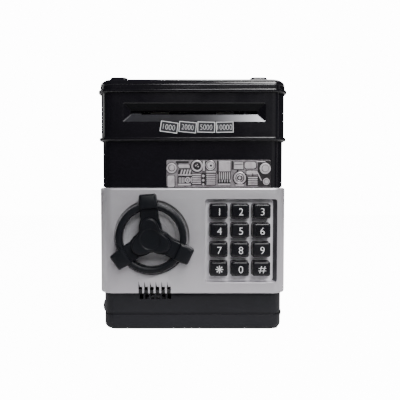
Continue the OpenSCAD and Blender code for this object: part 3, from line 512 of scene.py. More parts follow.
def material(
    name, colour, second=None, roughness=0.4, smudge=0.06, rub=0.04, drift=25.0, dust=0.08,
    fine=2600.0, slow=220.0, mix=0.5, depth=0.00003, strength=0.25, metallic=0.0, coat=0.0, coat_rough=0.05,
    specular=0.5, flakes=0.0, brushed=None, rings=None, painted_highlight=None,
):
    """A finished surface: drifting colour, grained relief and handled roughness."""
    found = bpy.data.materials.get(name)
    if found:
        return found
    m = bpy.data.materials.new(name)
    m.use_nodes = True
    t = m.node_tree
    bsdf = t.nodes["Principled BSDF"]
    bsdf.inputs["Metallic"].default_value = metallic
    bsdf.inputs["Coat Weight"].default_value = coat
    bsdf.inputs["Coat Roughness"].default_value = coat_rough
    bsdf.inputs["Specular IOR Level"].default_value = specular
    second = second or tuple(c * 0.86 for c in colour)
    tone = placed(t, "Colour drift", {"Colour": (*colour, 1), "Second": (*second, 1), "Scale": drift, "Dust": dust})
    marks = placed(t, "Handling marks", {"Roughness": roughness, "Smudge": smudge, "Rub": rub})
    grain = placed(t, "Surface grain", {"Fine scale": fine, "Slow scale": slow, "Mix": mix})
    bump = add_node(t, "ShaderNodeBump", {"Strength": strength, "Distance": depth})
    where = t.nodes.new("ShaderNodeTexCoord")
    wire(t, (tone, "Result", bsdf, "Base Color"), (marks, "Result", bsdf, "Roughness"))
    if painted_highlight:  # painted highlight: paler from one x to another
        start, end, highlight_colour = painted_highlight
        split = t.nodes.new("ShaderNodeSeparateXYZ")
        run = add_node(t, "ShaderNodeMapRange", {"From Min": start, "From Max": end})
        curve = add_node(t, "ShaderNodeMath", {1: 4.0}, operation="POWER")
        swap = add_node(t, "ShaderNodeMix", {7: (*highlight_colour, 1)}, data_type="RGBA")
        wire(t, (where, "Object", split, 0), (split, "X", run, "Value"), (run, 0, curve, 0), (curve, 0, swap, 0),
             (tone, "Result", swap, 6), (swap, 2, bsdf, "Base Color"))
    height = (grain, "Height")
    patterns = []
    if brushed:  # scale of the lines along each axis
        stretch = add_node(t, "ShaderNodeMapping", {"Scale": brushed})
        patterns.append(add_node(t, "ShaderNodeTexNoise", {"Scale": 1.0, "Detail": 3.0}))
        wire(t, (where, "Object", stretch, "Vector"), (stretch, 0, patterns[-1], "Vector"))
    if rings:  # axis and scale of turned or wound ridges
        patterns.append(add_node(t, "ShaderNodeTexWave", {"Scale": rings[1], "Distortion": 0.4, "Detail": 1.0},
                                 wave_type="BANDS", bands_direction=rings[0]))
        wire(t, (where, "Object", patterns[-1], "Vector"))
    for pattern in patterns:
        both = add_node(t, "ShaderNodeMath", operation="ADD")
        wire(t, (pattern, "Fac", both, 0), (*height, both, 1))
        height = (both, 0)
    if flakes:  # spread of metallic from one small cell to the next
        cells = add_node(t, "ShaderNodeTexVoronoi", {"Scale": 5200.0})
        bright = add_node(t, "ShaderNodeSeparateColor")
        pick = add_node(t, "ShaderNodeMapRange", {"To Min": metallic - flakes, "To Max": metallic + flakes})
        wire(t, (where, "Object", cells, "Vector"), (cells, "Color", bright, 0), (bright, 0, pick, "Value"),
             (pick, 0, bsdf, "Metallic"))
    wire(t, (*height, bump, "Height"), (bump, "Normal", bsdf, "Normal"))
    return m


def shade_of(colour, *factors):
    """A colour times one factor, or one for each channel."""
    return tuple(v * f for v, f in zip(colour, factors if len(factors) == 3 else factors * 3))


def finishes():
    """The bank's own materials by short name."""
    c = bpy.context.scene.bank_colours
    silver = tuple(c.silver)
    return {
        "gloss": dict(name="Gloss black plastic", colour=tuple(c.gloss), roughness=0.12, smudge=0.07, rub=0.03,
                      dust=0.03, slow=60.0, mix=1.0, depth=0.00008, strength=0.07, specular=0.45),
        "satin": dict(name="Satin black plastic", colour=tuple(c.satin), roughness=0.42, smudge=0.07, fine=2400.0,
                      mix=0.35, depth=0.00004, strength=0.3, specular=0.3),
        # Also paints shade on the slits' left walls.
        "inner": dict(name="Inner black plastic and painted slit shade", colour=(0.014, 0.014, 0.016), roughness=0.5, mix=0.4),
        "shade": dict(name="Matt black slot wall", colour=(0.005, 0.005, 0.006), roughness=0.6, specular=0.12,
                      mix=0.4, drift=80.0),
        "silver": dict(name="Silver sprayed plastic", colour=silver, second=shade_of(silver, 0.94, 0.9, 0.93),
                       roughness=0.33, smudge=0.05, rub=0.03, drift=14.0, dust=0.03, fine=2100.0, slow=330.0,
                       mix=0.6, strength=0.22, metallic=0.62, flakes=0.25, coat=0.12, coat_rough=0.25),
        # Brighter silver for the pocket floor between the keys: painted light against the keys' shade.
        "pocket": dict(name="Pocket silver with painted light", colour=(0.8, 0.79, 0.81), second=(0.74, 0.72, 0.75),
                       roughness=0.42, drift=30.0, metallic=0.15, fine=2100.0, mix=0.6, strength=0.22),
        # Dark silver for the pocket's right wall: painted shade.
        "shaded": dict(name="Silver with painted shade", colour=(0.09, 0.09, 0.1), second=(0.06, 0.06, 0.07),
                       roughness=0.5, drift=30.0, specular=0.2),
        "dish": dict(name="Silver dish", colour=shade_of(silver, 0.95), second=shade_of(silver, 0.7), roughness=0.3,
                     smudge=0.1, rub=0.08, drift=70.0, metallic=0.35, flakes=0.2, fine=2100.0, depth=0.00004,
                     strength=0.3, brushed=(60.0, 60.0, 900.0)),
        # Slot lip paler towards its right end: a painted highlight over rub marks in the roughness.
        "lip": dict(name="Slot lip with painted highlight", colour=(0.012, 0.012, 0.014), second=(0.02, 0.02, 0.024), roughness=0.34,
                    smudge=0.04, rub=0.1, drift=60.0, depth=0.00002, brushed=(30.0, 900.0, 900.0), strength=0.15,
                    specular=0.14, painted_highlight=(-0.018, 0.056, (0.95, 0.95, 1.0))),
        "relief": dict(name="Stamped silver relief", colour=(0.58, 0.56, 0.575), second=(0.44, 0.4, 0.425),
                       roughness=0.33, drift=220.0, metallic=0.35, flakes=0.2, mix=0.6, depth=0.00004),
        "relief_ground": dict(name="Silver relief ground", colour=(0.24, 0.225, 0.235), second=(0.13, 0.115, 0.125),
                              drift=260.0, metallic=0.3, mix=0.6, depth=0.00004, strength=0.3),
        "relief_dark": dict(name="Relief shadow print", colour=(0.006, 0.005, 0.006), second=(0.016, 0.013, 0.015),
                            drift=300.0, specular=0.35),
        "wheel": dict(name="Wheel black plastic", colour=tuple(c.wheel), second=shade_of(c.wheel, 1.5),
                      roughness=0.34, specular=0.18, smudge=0.08, rub=0.06, fine=2300.0, mix=0.45, depth=0.00004,
                      strength=0.28),
        "key": dict(name="Key black plastic", colour=(0.005, 0.005, 0.007), roughness=0.24, specular=0.38,
                    smudge=0.12, rub=0.07, mix=0.7, depth=0.00004, strength=0.2),
        "white": dict(name="White print", colour=tuple(c.print_white), second=(0.72, 0.72, 0.74), roughness=0.5,
                      drift=300.0, dust=0.02),
        "label": dict(name="Label black print", colour=(0.008, 0.008, 0.012), roughness=0.3, drift=200.0),
        "steel": dict(name="Plated steel", colour=(0.56, 0.56, 0.55), roughness=0.24, metallic=1.0, drift=80.0,
                      brushed=(300.0, 300.0, 9000.0), depth=0.00001, strength=0.3),
        "spring": dict(name="Spring wire", colour=(0.6, 0.59, 0.56), roughness=0.2, metallic=1.0, drift=120.0),
        "pcb": dict(name="Green circuit board", colour=(0.012, 0.11, 0.04), second=(0.02, 0.16, 0.06),
                    roughness=0.28, drift=220.0, coat=0.4, fine=900.0, mix=0.2),
        "chip": dict(name="Black moulded chip", colour=(0.015, 0.015, 0.016), roughness=0.55, fine=5200.0, mix=0.2),
        "cell": dict(name="Dry cell jacket", colour=(0.06, 0.065, 0.075), second=(0.42, 0.3, 0.08), roughness=0.26,
                     metallic=0.7, drift=30.0, coat=0.5),
        "wire": dict(name="Wire insulation", colour=(0.32, 0.02, 0.015), second=(0.25, 0.01, 0.01)),
        "basket": dict(name="Speaker basket", colour=(0.05, 0.05, 0.055), roughness=0.35, metallic=0.7),
        "cone": dict(name="Pressed paper cone", colour=(0.03, 0.028, 0.026), second=(0.06, 0.055, 0.05),
                     roughness=0.85, drift=400.0, fine=3500.0, mix=0.3, depth=0.0001, strength=0.6,
                     rings=("Z", 500.0)),
        "acetal": dict(name="White acetal", colour=(0.66, 0.65, 0.61), second=(0.58, 0.57, 0.53), roughness=0.38),
        "silicone": dict(name="Grey silicone", colour=(0.34, 0.34, 0.32), second=(0.28, 0.28, 0.27), roughness=0.62,
                         dust=0.15),
        "rubber": dict(name="Ground rubber", colour=(0.022, 0.022, 0.023), second=(0.04, 0.04, 0.04), roughness=0.8,
                       fine=4200.0, mix=0.3, depth=0.0001, strength=0.5, drift=300.0),
        "guide": dict(name="Dark grey plastic", colour=(0.07, 0.072, 0.08), second=(0.055, 0.057, 0.064),
                      roughness=0.5, mix=0.4),
        "can": dict(name="Motor can", colour=(0.5, 0.5, 0.49), roughness=0.3, metallic=1.0, drift=60.0,
                    brushed=(9000.0, 300.0, 300.0), depth=0.00001),
        "copper": dict(name="Copper winding", colour=(0.5, 0.16, 0.055), second=(0.36, 0.09, 0.03), roughness=0.3,
                       metallic=0.9, drift=90.0, rings=("X", 1400.0), depth=0.00015, strength=0.8),
        "brass": dict(name="Machined brass", colour=(0.62, 0.42, 0.14), roughness=0.25, metallic=1.0, drift=90.0),
    }


def palette(kind):
    """One of the bank's materials, made on first use."""
    return material(**finishes()[kind])


# ---------------------------------------------------------------- casing


def plan():
    """The places that follow from the sizes now set."""
    return Plan(bpy.context.scene.bank_sizes)


def outline(p, step, n=20):
    """The body's plan, grown outwards by step."""
    s = p.s
    return rounded(s.body_w + 2 * step, s.body_d + 2 * step, s.corner_r + step, n)


def stack(p, steps, inner_step):
    """Tube of the body's plan. steps are (outward step, z) from bottom to top."""
    outer = [(outline(p, k), z) for k, z in steps]
    inner = [(outline(p, inner_step), z) for z in (steps[-1][1], steps[0][1])]
    return solid(outer + inner, closed=True)


def bead_steps(base, step, z, h, r=0.9):
    """Profile of a rounded band standing out from base to step between z and z + h."""
    foot = [(base, z - 0.25), (base + 0.12, z - 0.06), (base + 0.3, z)]
    low = [(step - r + r * sin, z + r - r * cos) for sin, cos in quarter(4)]
    high = [(step - r + r * cos, z + h - r + r * sin) for sin, cos in quarter(4)]
    return foot + low + high


def make_base():
    """Bottom tray and battery door, from the exact solids, with their edges rounded."""
    tray = soften(copied("base_tray"), 0.35, 2, 38)
    finished(tray, "base_case", "satin", "case", ["base_tray"], 30)
    door = soften(copied("battery_door"), 0.25, 2, 38)
    finished(door, "battery_hatch", "satin", "case", ["battery_door"], 30)


def make_body():
    """Glossy middle section with its bead, door frame, shelf and screw bosses."""
    p = plan()
    s = p.s
    steps = [(0, p.z_base), *bead_steps(0, 2.5, p.z_bead, s.bead_h), (0.6, p.z_house)]
    body = stack(p, steps, -s.wall)
    carve(body, [block((-s.body_w, p.y_front - 20, p.z_base - 1), (s.body_w, p.y_frame, p.z_mid))])

    half = s.body_w / 2 - 1
    panel = block((-half, p.y_frame, p.z_base), (half, p.y_frame + s.wall, p.z_mid + 1))
    doorway = rounded(s.body_w - 22, s.door_h - 6.7, 2.5, 8, -2, (p.z_base + 4.5 + p.z_mid - 3) / 2)
    carve(panel, [solid([(doorway, y) for y in (-p.y_frame - s.wall - 2, -p.y_frame + 2)], FACING)])
    middle_of_wall = outline(p, -s.wall / 2, 16)
    shelf = solid([(middle_of_wall, z) for z in (p.z_mid, p.z_mid + s.wall)])
    carve(shelf, [block((-80, p.y_frame + s.wall, p.z_mid - 1), (80, 80, p.z_mid + s.wall + 1))])

    screws = [(x, y) for x in (-60.5, 60.5) for y in (p.y_frame + 6.8, 45.5)]
    boss_h, boss_r, bore_r = 16, 4.4, 1.45
    bosses = [rod_z(x, y, p.z_base, p.z_base + boss_h, boss_r) for x, y in screws]
    inside = solid([(middle_of_wall, z) for z in (p.z_base, p.z_base + boss_h + 2)])
    for boss in bosses:
        combine(boss, [inside], "INTERSECT")
    drop(inside)
    add(body, [panel, shelf] + bosses)

    cuts = [rod_z(x, y, p.z_base - 1, p.z_base + 12, bore_r) for x, y in screws]
    cuts.append(rod_z(*p.hinge, p.z_mid - 1, p.z_mid + s.wall + 1, 1.65))
    seat = rounded(p.relief_w + 0.2, p.relief_h + 0.3, 0.6, 6, p.relief[0], p.relief[1] + 0.05)
    cuts.append(solid([(seat, y) for y in (-p.y_front - 0.6, -p.y_front + 1)], FACING))
    carve(body, cuts)
    soften(body, 0.3, 2, 40)
    finished(body, "middle_body", "gloss", "case", ["body_shell"], 32)


def make_housing():
    """Glossy upper housing with its flange, tapered note recess and slot."""
    p = plan()
    s = p.s
    step = p.house_step
    steps = [(step, p.z_house + 0.02), *bead_steps(step, 2.9, p.z_flange, s.bead_h), (1.2, p.z_lid - 0.02)]
    body = stack(p, steps, step - s.wall)
    x, rz = p.slot_x, p.slot_recess_z
    slot_half, recess_half, recess_rise = 46.2, 52.1, 6.95
    sill = p.slot_z - 0.9
    top = p.slot_z + 1.6
    box_back = p.y_house + 7.1
    add(body, [block((x - 54, p.y_house + s.wall - 0.5, rz - 7.9), (x + 54, box_back, rz + 9.6))])

    def opening(low, high, half, r, y):
        return rounded(2 * half, high - low, r, 8, x, (low + high) / 2), y

    mouth = [
        opening(sill, top, slot_half, 0.4, -p.y_house - 4.2),
        opening(sill - 0.1, top + 0.1, slot_half + 0.2, 0.5, -p.y_house - 3.6),
        opening(rz - 6.6, rz + 6.4, recess_half - 0.5, 1.2, -p.y_house - 0.45),
        opening(rz - recess_rise, rz + recess_rise, recess_half, 1.6, -p.y_house + 0.05),
        opening(rz - recess_rise, rz + recess_rise, recess_half, 1.6, -p.y_house + 1.0),
    ]
    slot = solid([opening(sill, top, slot_half, 0.4, y) for y in (-box_back - 1, -p.y_house - 3.9)], FACING)
    feeder_screws = ((-48.5, p.slot_z - 4.6), (-48.5, p.slot_z + 6.5), (50, p.slot_z + 6.5))
    holes = [rod_y(sx, sz, box_back - 2.8, box_back + 1, 1.05, 24) for sx, sz in feeder_screws]
    carve(body, [solid(mouth, FACING), slot] + holes)
    soften(body, 0.22, 2, 42)
    reach = recess_half + 0.4
    # The lip faces take the lip finish, paler to the right: a painted highlight.
    paint(body, 1, lambda c, n: abs(c.x - x) < reach and sill - 7 < c.z < sill + 0.4 and n.z > 0.3
          and p.y_house + 0.02 < c.y < p.y_house + 4.3)
    paint(body, 2, lambda c, n: abs(c.x - x) < reach and sill + 0.5 < c.z < rz + 7 and n.z < -0.3
          and p.y_house + 0.3 < c.y < box_back + 0.2)
    finished(body, "upper_case", "gloss lip shade", "case", ["upper_housing"], 34)


def make_lid():
    """Lid with a soft shoulder, a step line, two low rails and the coin slot."""
    p = plan()
    s = p.s
    step, foot, draw = 1.5, 2.9, 6.5  # the shoulder's outward step, where it starts, and how far it draws in
    profile = [(1.35, 0.03), (1.6, 0.3), (1.6, 2.1), (1.3, 2.35), (1.3, 2.6), (step, foot)]
    profile += [(step - draw * (1 - cos), foot + (s.lid_h - foot) * sin) for sin, cos in quarter(10)[1:]]
    lid = solid([(rounded(s.body_w + 2 * k, s.body_d + 2 * k, s.corner_r + k * 0.75, 20), p.z_lid + z)
                 for k, z in profile])
    hollow, skirt = -3.0, 3.0
    carve(lid, [solid([(outline(p, hollow), z) for z in (p.z_lid - 2.6, p.z_top - s.wall)])])
    rim = [(-1.6, 0.4), (-1.6, 0.3 - skirt), (-1.9, -skirt), (hollow - 0.4, -skirt), (hollow - 0.4, 0.4)]
    add(lid, [solid([(outline(p, k), p.z_lid + z) for k, z in rim], closed=True)])

    rails = []
    w, d = 12.6, s.body_d - 11
    for x in (-54.8, 49.2):
        rings = [(rounded(w, d, 2.6, 10, x), p.z_top - 1)]
        for sin, cos in quarter(5):
            inset = 2.2 * (1 - cos)
            rings.append((rounded(w - inset, d - inset, 2.6, 10, x), p.z_top + 0.9 + 1.1 * sin))
        rails.append(solid(rings))
    add(lid, rails)
    coin_w, coin_t, coin_y = 33, 4.6, 18
    flare = ((0, p.z_lid), (0, p.z_top - 0.5), (0.3, p.z_top - 0.15), (0.9, p.z_top + 0.01), (0.9, p.z_top + 3))
    carve(lid, [solid([(rounded(coin_w + k, coin_t + k, 1.0 + k / 2, 8, 0, coin_y), z) for k, z in flare])])
    clean(lid)
    finished(lid, "lid", "gloss", "case", ["top_lid"], 36)


# ---------------------------------------------------------------- door, wheel and keys


def door_outline(p, inset):
    """The door seen from above, anticlockwise and drawn in by inset."""
    r = p.s.corner_r + 1
    x, y = p.door_w / 2 - r, p.y_face + r
    return [(inset - p.door_w / 2, p.y_back), *arc(-x, y, r - inset, 180), *arc(x, y, r - inset, 270),
            *arc(*p.hinge, p.hinge_r - inset, 0)]


def make_door():
    """Silver door: soft-edged shell with the wheel dish, keypad pocket, speaker slits and hinge barrels."""
    p = plan()
    s = p.s
    edge, wall = 1.3, 2.0
    rings = [(door_outline(p, edge * (1 - sin)), p.z_door + edge * (1 - cos)) for sin, cos in quarter(6)]
    rings += [(door_outline(p, edge * (1 - cos)), p.z_door_top - edge + edge * sin) for sin, cos in quarter(6)]
    door = solid(rings)
    hollow = [(x, y + (0 if y < p.y_back - 0.01 else 2)) for x, y in door_outline(p, wall)]
    carve(door, [solid([(hollow, z) for z in (p.z_door + wall, p.z_door_top - wall)])])

    wx, wz = p.wheel
    rx, rz = p.recess
    cup = p.y_face + 5.7  # back of the dish's wall
    boss = cup + 4
    floor = p.y_face + s.keypad_depth
    floor_back = floor + 1.6
    parts = [rod_y(wx, wz, p.y_face + 1, cup, 28.9, 96), rod_y(wx, wz, cup - 0.5, boss, 6),
             solid([(rounded(55.4, 63.8, 3, 8, rx, rz), y) for y in (-floor_back, -p.y_face - 1)], FACING)]
    pins = [(rx + x, rz + z) for x in (-26.4, 26.4) for z in (-27.9, 27.9)]
    parts += [rod_y(x, z, floor + 1.1, floor_back + 4.6, 1.8, 24) for x, z in pins]
    screws = [(-p.door_w / 2 + 7, p.z_door + 7), (-p.door_w / 2 + 7, p.z_door_top - 7),
              (rx - 6, p.z_door + 4.8), (rx - 6, p.z_door_top - 4.6)]
    parts += [rod_y(x, z, p.y_face + 1, p.y_back - 2.1, 2.6, 24) for x, z in screws]
    barrel = 8
    parts += [rod_z(*p.hinge, z, z + barrel, 4) for z in (p.z_door + 0.5, p.z_door_top - 0.5 - barrel)]
    add(door, parts)

    dish = ((6.5, 4.4), (8.6, 4.4), (8.9, 4.1), (12.6, 4.1), (12.8, 4.35), (17.2, 4.35), (17.4, 4.1), (21.2, 4.1),
            (21.5, 3.2), (25.6, 3.2), (26.5, 2.95), (27.1, 2.4), (27.15, 0.5), (27.3, 0.18), (27.65, -0.02),
            (27.65, -1))  # radius and depth under the face
    pocket = ((50.0, 60.2, 2, -1.1, s.keypad_depth), (52.0, 60.5, 2, 0, 0.5), (52.3, 60.8, 2.1, 0, 0.18),
              (53.0, 61.5, 2.4, 0, -0.02), (53.0, 61.5, 2.4, 0, -1))  # width, height, radius, shift and depth
    cuts = [solid([(circle(r, 128, wx, wz), -p.y_face - depth) for r, depth in dish], FACING),
            rod_y(wx, wz, p.y_face, boss + 1, 3.05, 48),
            solid([(rounded(w, h, r, 10, rx + shift, rz), -p.y_face - depth) for w, h, r, shift, depth in pocket],
                  FACING)]
    for k in range(12):
        cuts.append(solid([(rounded(13.6, 11.1, 1.6, 6, *p.key(k)), y) for y in (-floor - 3, -floor + 1)], FACING))
    slit, slit_low, slit_mid, slit_top = 1.4, p.z_door + 3.2, p.z_door + 4.6, p.z_door + 9.6
    for x in p.slits:
        ends = ((-p.y_face - 1.9, 0.6, slit_mid + 0.4), (-p.y_face + 0.2, slit, slit_top))
        cuts.append(solid([([(x - left, slit_low), (x + slit, slit_low), (x + slit, top), (x - left, top)], y)
                           for y, left, top in ends], FACING))
        cuts.append(block((x - slit, p.y_face - 1, p.z_door - 1), (x + slit, p.y_face + 3, slit_mid)))
    cuts += [rod_z(*p.hinge, z, z + barrel, 1.62, 24) for z in (p.z_door - 1, p.z_door_top + 1 - barrel)]
    cuts += [rod_y(x, z, p.y_back - 9, p.y_back, 1.15, 20) for x, z in screws]
    carve(door, cuts)
    clean(door)

    def in_pocket(c):
        return abs(c.x - rx) < 26.6 and abs(c.z - rz) < 30.6

    def in_slits(c):
        return p.slits[0] - 2 < c.x < p.slits[-1] + 2

    paint(door, 1, lambda c, n: math.hypot(c.x - wx, c.z - wz) < 27.2 and p.y_face + 0.2 < c.y < cup)
    paint(door, 2, lambda c, n: in_slits(c) and c.z < slit_mid + 0.1 and c.y > p.y_face + 1)
    # Left walls of the slits in black: painted shade.
    paint(door, 2, lambda c, n: in_slits(c) and c.z < slit_top and n.x > 0.6
          and p.y_face + 0.05 < c.y < p.y_face + 3)
    # Pocket floor between the keys in brighter silver: painted light.
    paint(door, 3, lambda c, n: in_pocket(c) and abs(c.y - floor) < 0.05)
    # Right wall of the pocket in dark silver: painted shade.
    paint(door, 4, lambda c, n: in_pocket(c) and n.x < -0.6 and c.x - rx > 22 and p.y_face + 0.15 < c.y < floor)
    finished(door, "silver_door", "silver dish inner pocket shaded", "door", ["door_shell"], 32)


def make_wheel():
    """Hand wheel: rounded ring, three flared arms, stepped knobs and a hub."""
    p = plan()
    s = p.s
    wx, wz = p.wheel
    back = -p.wheel_back
    section = [(-2.5, 0), (-2.5, 4.9), (-1.9, 6.1), (-0.7, 6.6), (0.9, 6.6), (2.0, 6.1), (2.5, 5.0), (2.5, 1.0),
               (2.0, 0), (-2.0, 0)]
    mid = s.wheel_r - 2.5
    centre = Matrix.Translation((wx, 0, wz)) @ FACING
    bm = bmesh.new()
    row = [bm.verts.new((mid + u, 0, back + h)) for u, h in section]
    edges = [bm.edges.new(pair) for pair in zip(row, row[1:] + row[:1])]
    bmesh.ops.spin(bm, geom=row + edges, axis=(0, 0, 1), angle=math.tau, steps=120, use_merge=True)
    bmesh.ops.transform(bm, matrix=centre, verts=bm.verts[:])
    wheel = to_object(bm)

    parts = []
    for a in p.arm_turns:
        turn = centre @ Matrix.Rotation(a, 4, "Z")
        arm = []
        for h, k in ((0.4, 0.0), (4.6, 0.0), (5.6, 0.35), (6.2, 1.1)):
            w = 6.5 - k
            half = [(2, 8.8 - k), (9.5, 8.0 - k), (14.0, w), (mid + 1, w)]
            arm.append(([(u, -v) for u, v in half] + half[::-1], back + h))
        parts.append(solid(arm, turn))
        knob = []
        for h, k, g in ((0.3, 0.5, 0.4), (0.8, 0.0, 0.0), (6.2, 0.0, 0.0), (7.6, 0.5, 0.6), (8.3, 1.5, 1.6)):
            w0, w1, r1 = 6.6 - k, 5.7 - k, s.knob_r - g
            half = [(mid - 2.6 + g, w0), (mid + 2.4, w0), (r1 - 0.8, w1 + 0.3), (r1, w1 - 0.6)]
            knob.append(([(u, -v) for u, v in half] + half[::-1], back + h))
        parts.append(solid(knob, turn))
    hub = ((0, 0), (7.6, 0), (8.3, 0.3), (8.6, 1.0))
    parts.append(solid([(circle(9.8 - k, 72, wx, wz), back + h) for h, k in hub], FACING))
    parts.append(rod_y(wx, wz, p.wheel_back - 1, p.wheel_back + 2.8, 7, 64))
    add(wheel, parts)
    carve(wheel, [rod_y(wx, wz, p.wheel_back - 6.6, p.wheel_back + 4, 3.02, 48)])
    clean(wheel)
    finished(wheel, "hand_wheel_body", "wheel", "hand_wheel_set", ["hand_wheel"], 34)

    n = 120
    rings = []
    for h, k in ((0.0, 0.0), (1.2, 0.0), (1.8, 0.3), (2.1, 0.8), (2.2, 1.5)):
        points = []
        for i in range(n):
            t = math.tau * i / n
            r = 11.9 + 2.9 * math.cos(3 * (t - p.arm_turns[0])) - k
            points.append((wx + r * math.cos(t), wz + r * math.sin(t)))
        rings.append((points, back + 8.6 + h))
    cap = solid(rings, FACING)
    dimple = [(circle(r, 64, wx, wz), back + 10.8 - d) for r, d in ((6.2, 0.35), (7.0, 0.3), (7.5, -0.2))]
    carve(cap, [solid(dimple, FACING)])
    soften(cap, 0.2, 2, 40)
    finished(cap, "hub_plate", "wheel", "hand_wheel_set", ["hub_cap"], 34)


def star(x, z, y):
    """Four thin bars across each other, thinnest in the middle, which make eight rays."""
    half = [(-2.7, -0.34), (0, -0.16), (2.7, -0.34)]
    ray = half + [(-u, -v) for u, v in half]
    bars = []
    for i in range(4):
        turn = Matrix.Translation((x, 0, z)) @ FACING @ Matrix.Rotation(math.radians(45 * i), 4, "Z")
        bars.append(solid([(ray, -y - 0.02), (ray, -y + 0.05)], turn))
    return add(bars[0], bars[1:])


def make_keys():
    """Twelve keys with soft crowned faces and white figures."""
    p = plan()
    s = p.s
    w, h, r = 13, 10.5, 1.3
    front = -p.y_face + 1
    flange = p.y_face + s.keypad_depth + 1.6 + 0.3
    crown = ((0.0, 1.3, 1.5), (0.35, 1.45, 0.75), (0.9, 1.6, 0.3), (1.7, 1.8, 0.08), (2.8, 1.8, 0.0))
    names = ["1", "2", "3", "4", "5", "6", "7", "8", "9", "star", "0", "hash"]
    for k, name in enumerate(names):
        x, z = p.key(k)
        collar = rounded(w + 1.4, h + 1.4, r, 8, x, z)
        rings = [(collar, -flange - 1.2), (collar, -flange), (rounded(w, h, r, 8, x, z), -flange)]
        rings += [(rounded(w - inset, h - inset, soft, 8, x, z), front - sink) for inset, soft, sink in crown]
        key = solid(rings, FACING)
        soften(key, 0.12, 2, 50)
        finished(key, "key_" + name + "_cap", "key", "button_" + name, ["key_" + name], 50)
        if name == "star":
            figure = star(x + 0.5, z - 0.2, -front)
        elif name == "hash":
            figure = lettering("#", 5.4, 5.1, x + 0.5, z - 0.3, -front, thin=0.1)
        else:
            figure = lettering(name, 0, 5.1, x + 0.5, z - 0.3, -front, thin=0.1)
        finished(figure, "key_" + name + "_figure", "white", "button_" + name)


# ---------------------------------------------------------------- relief and labels


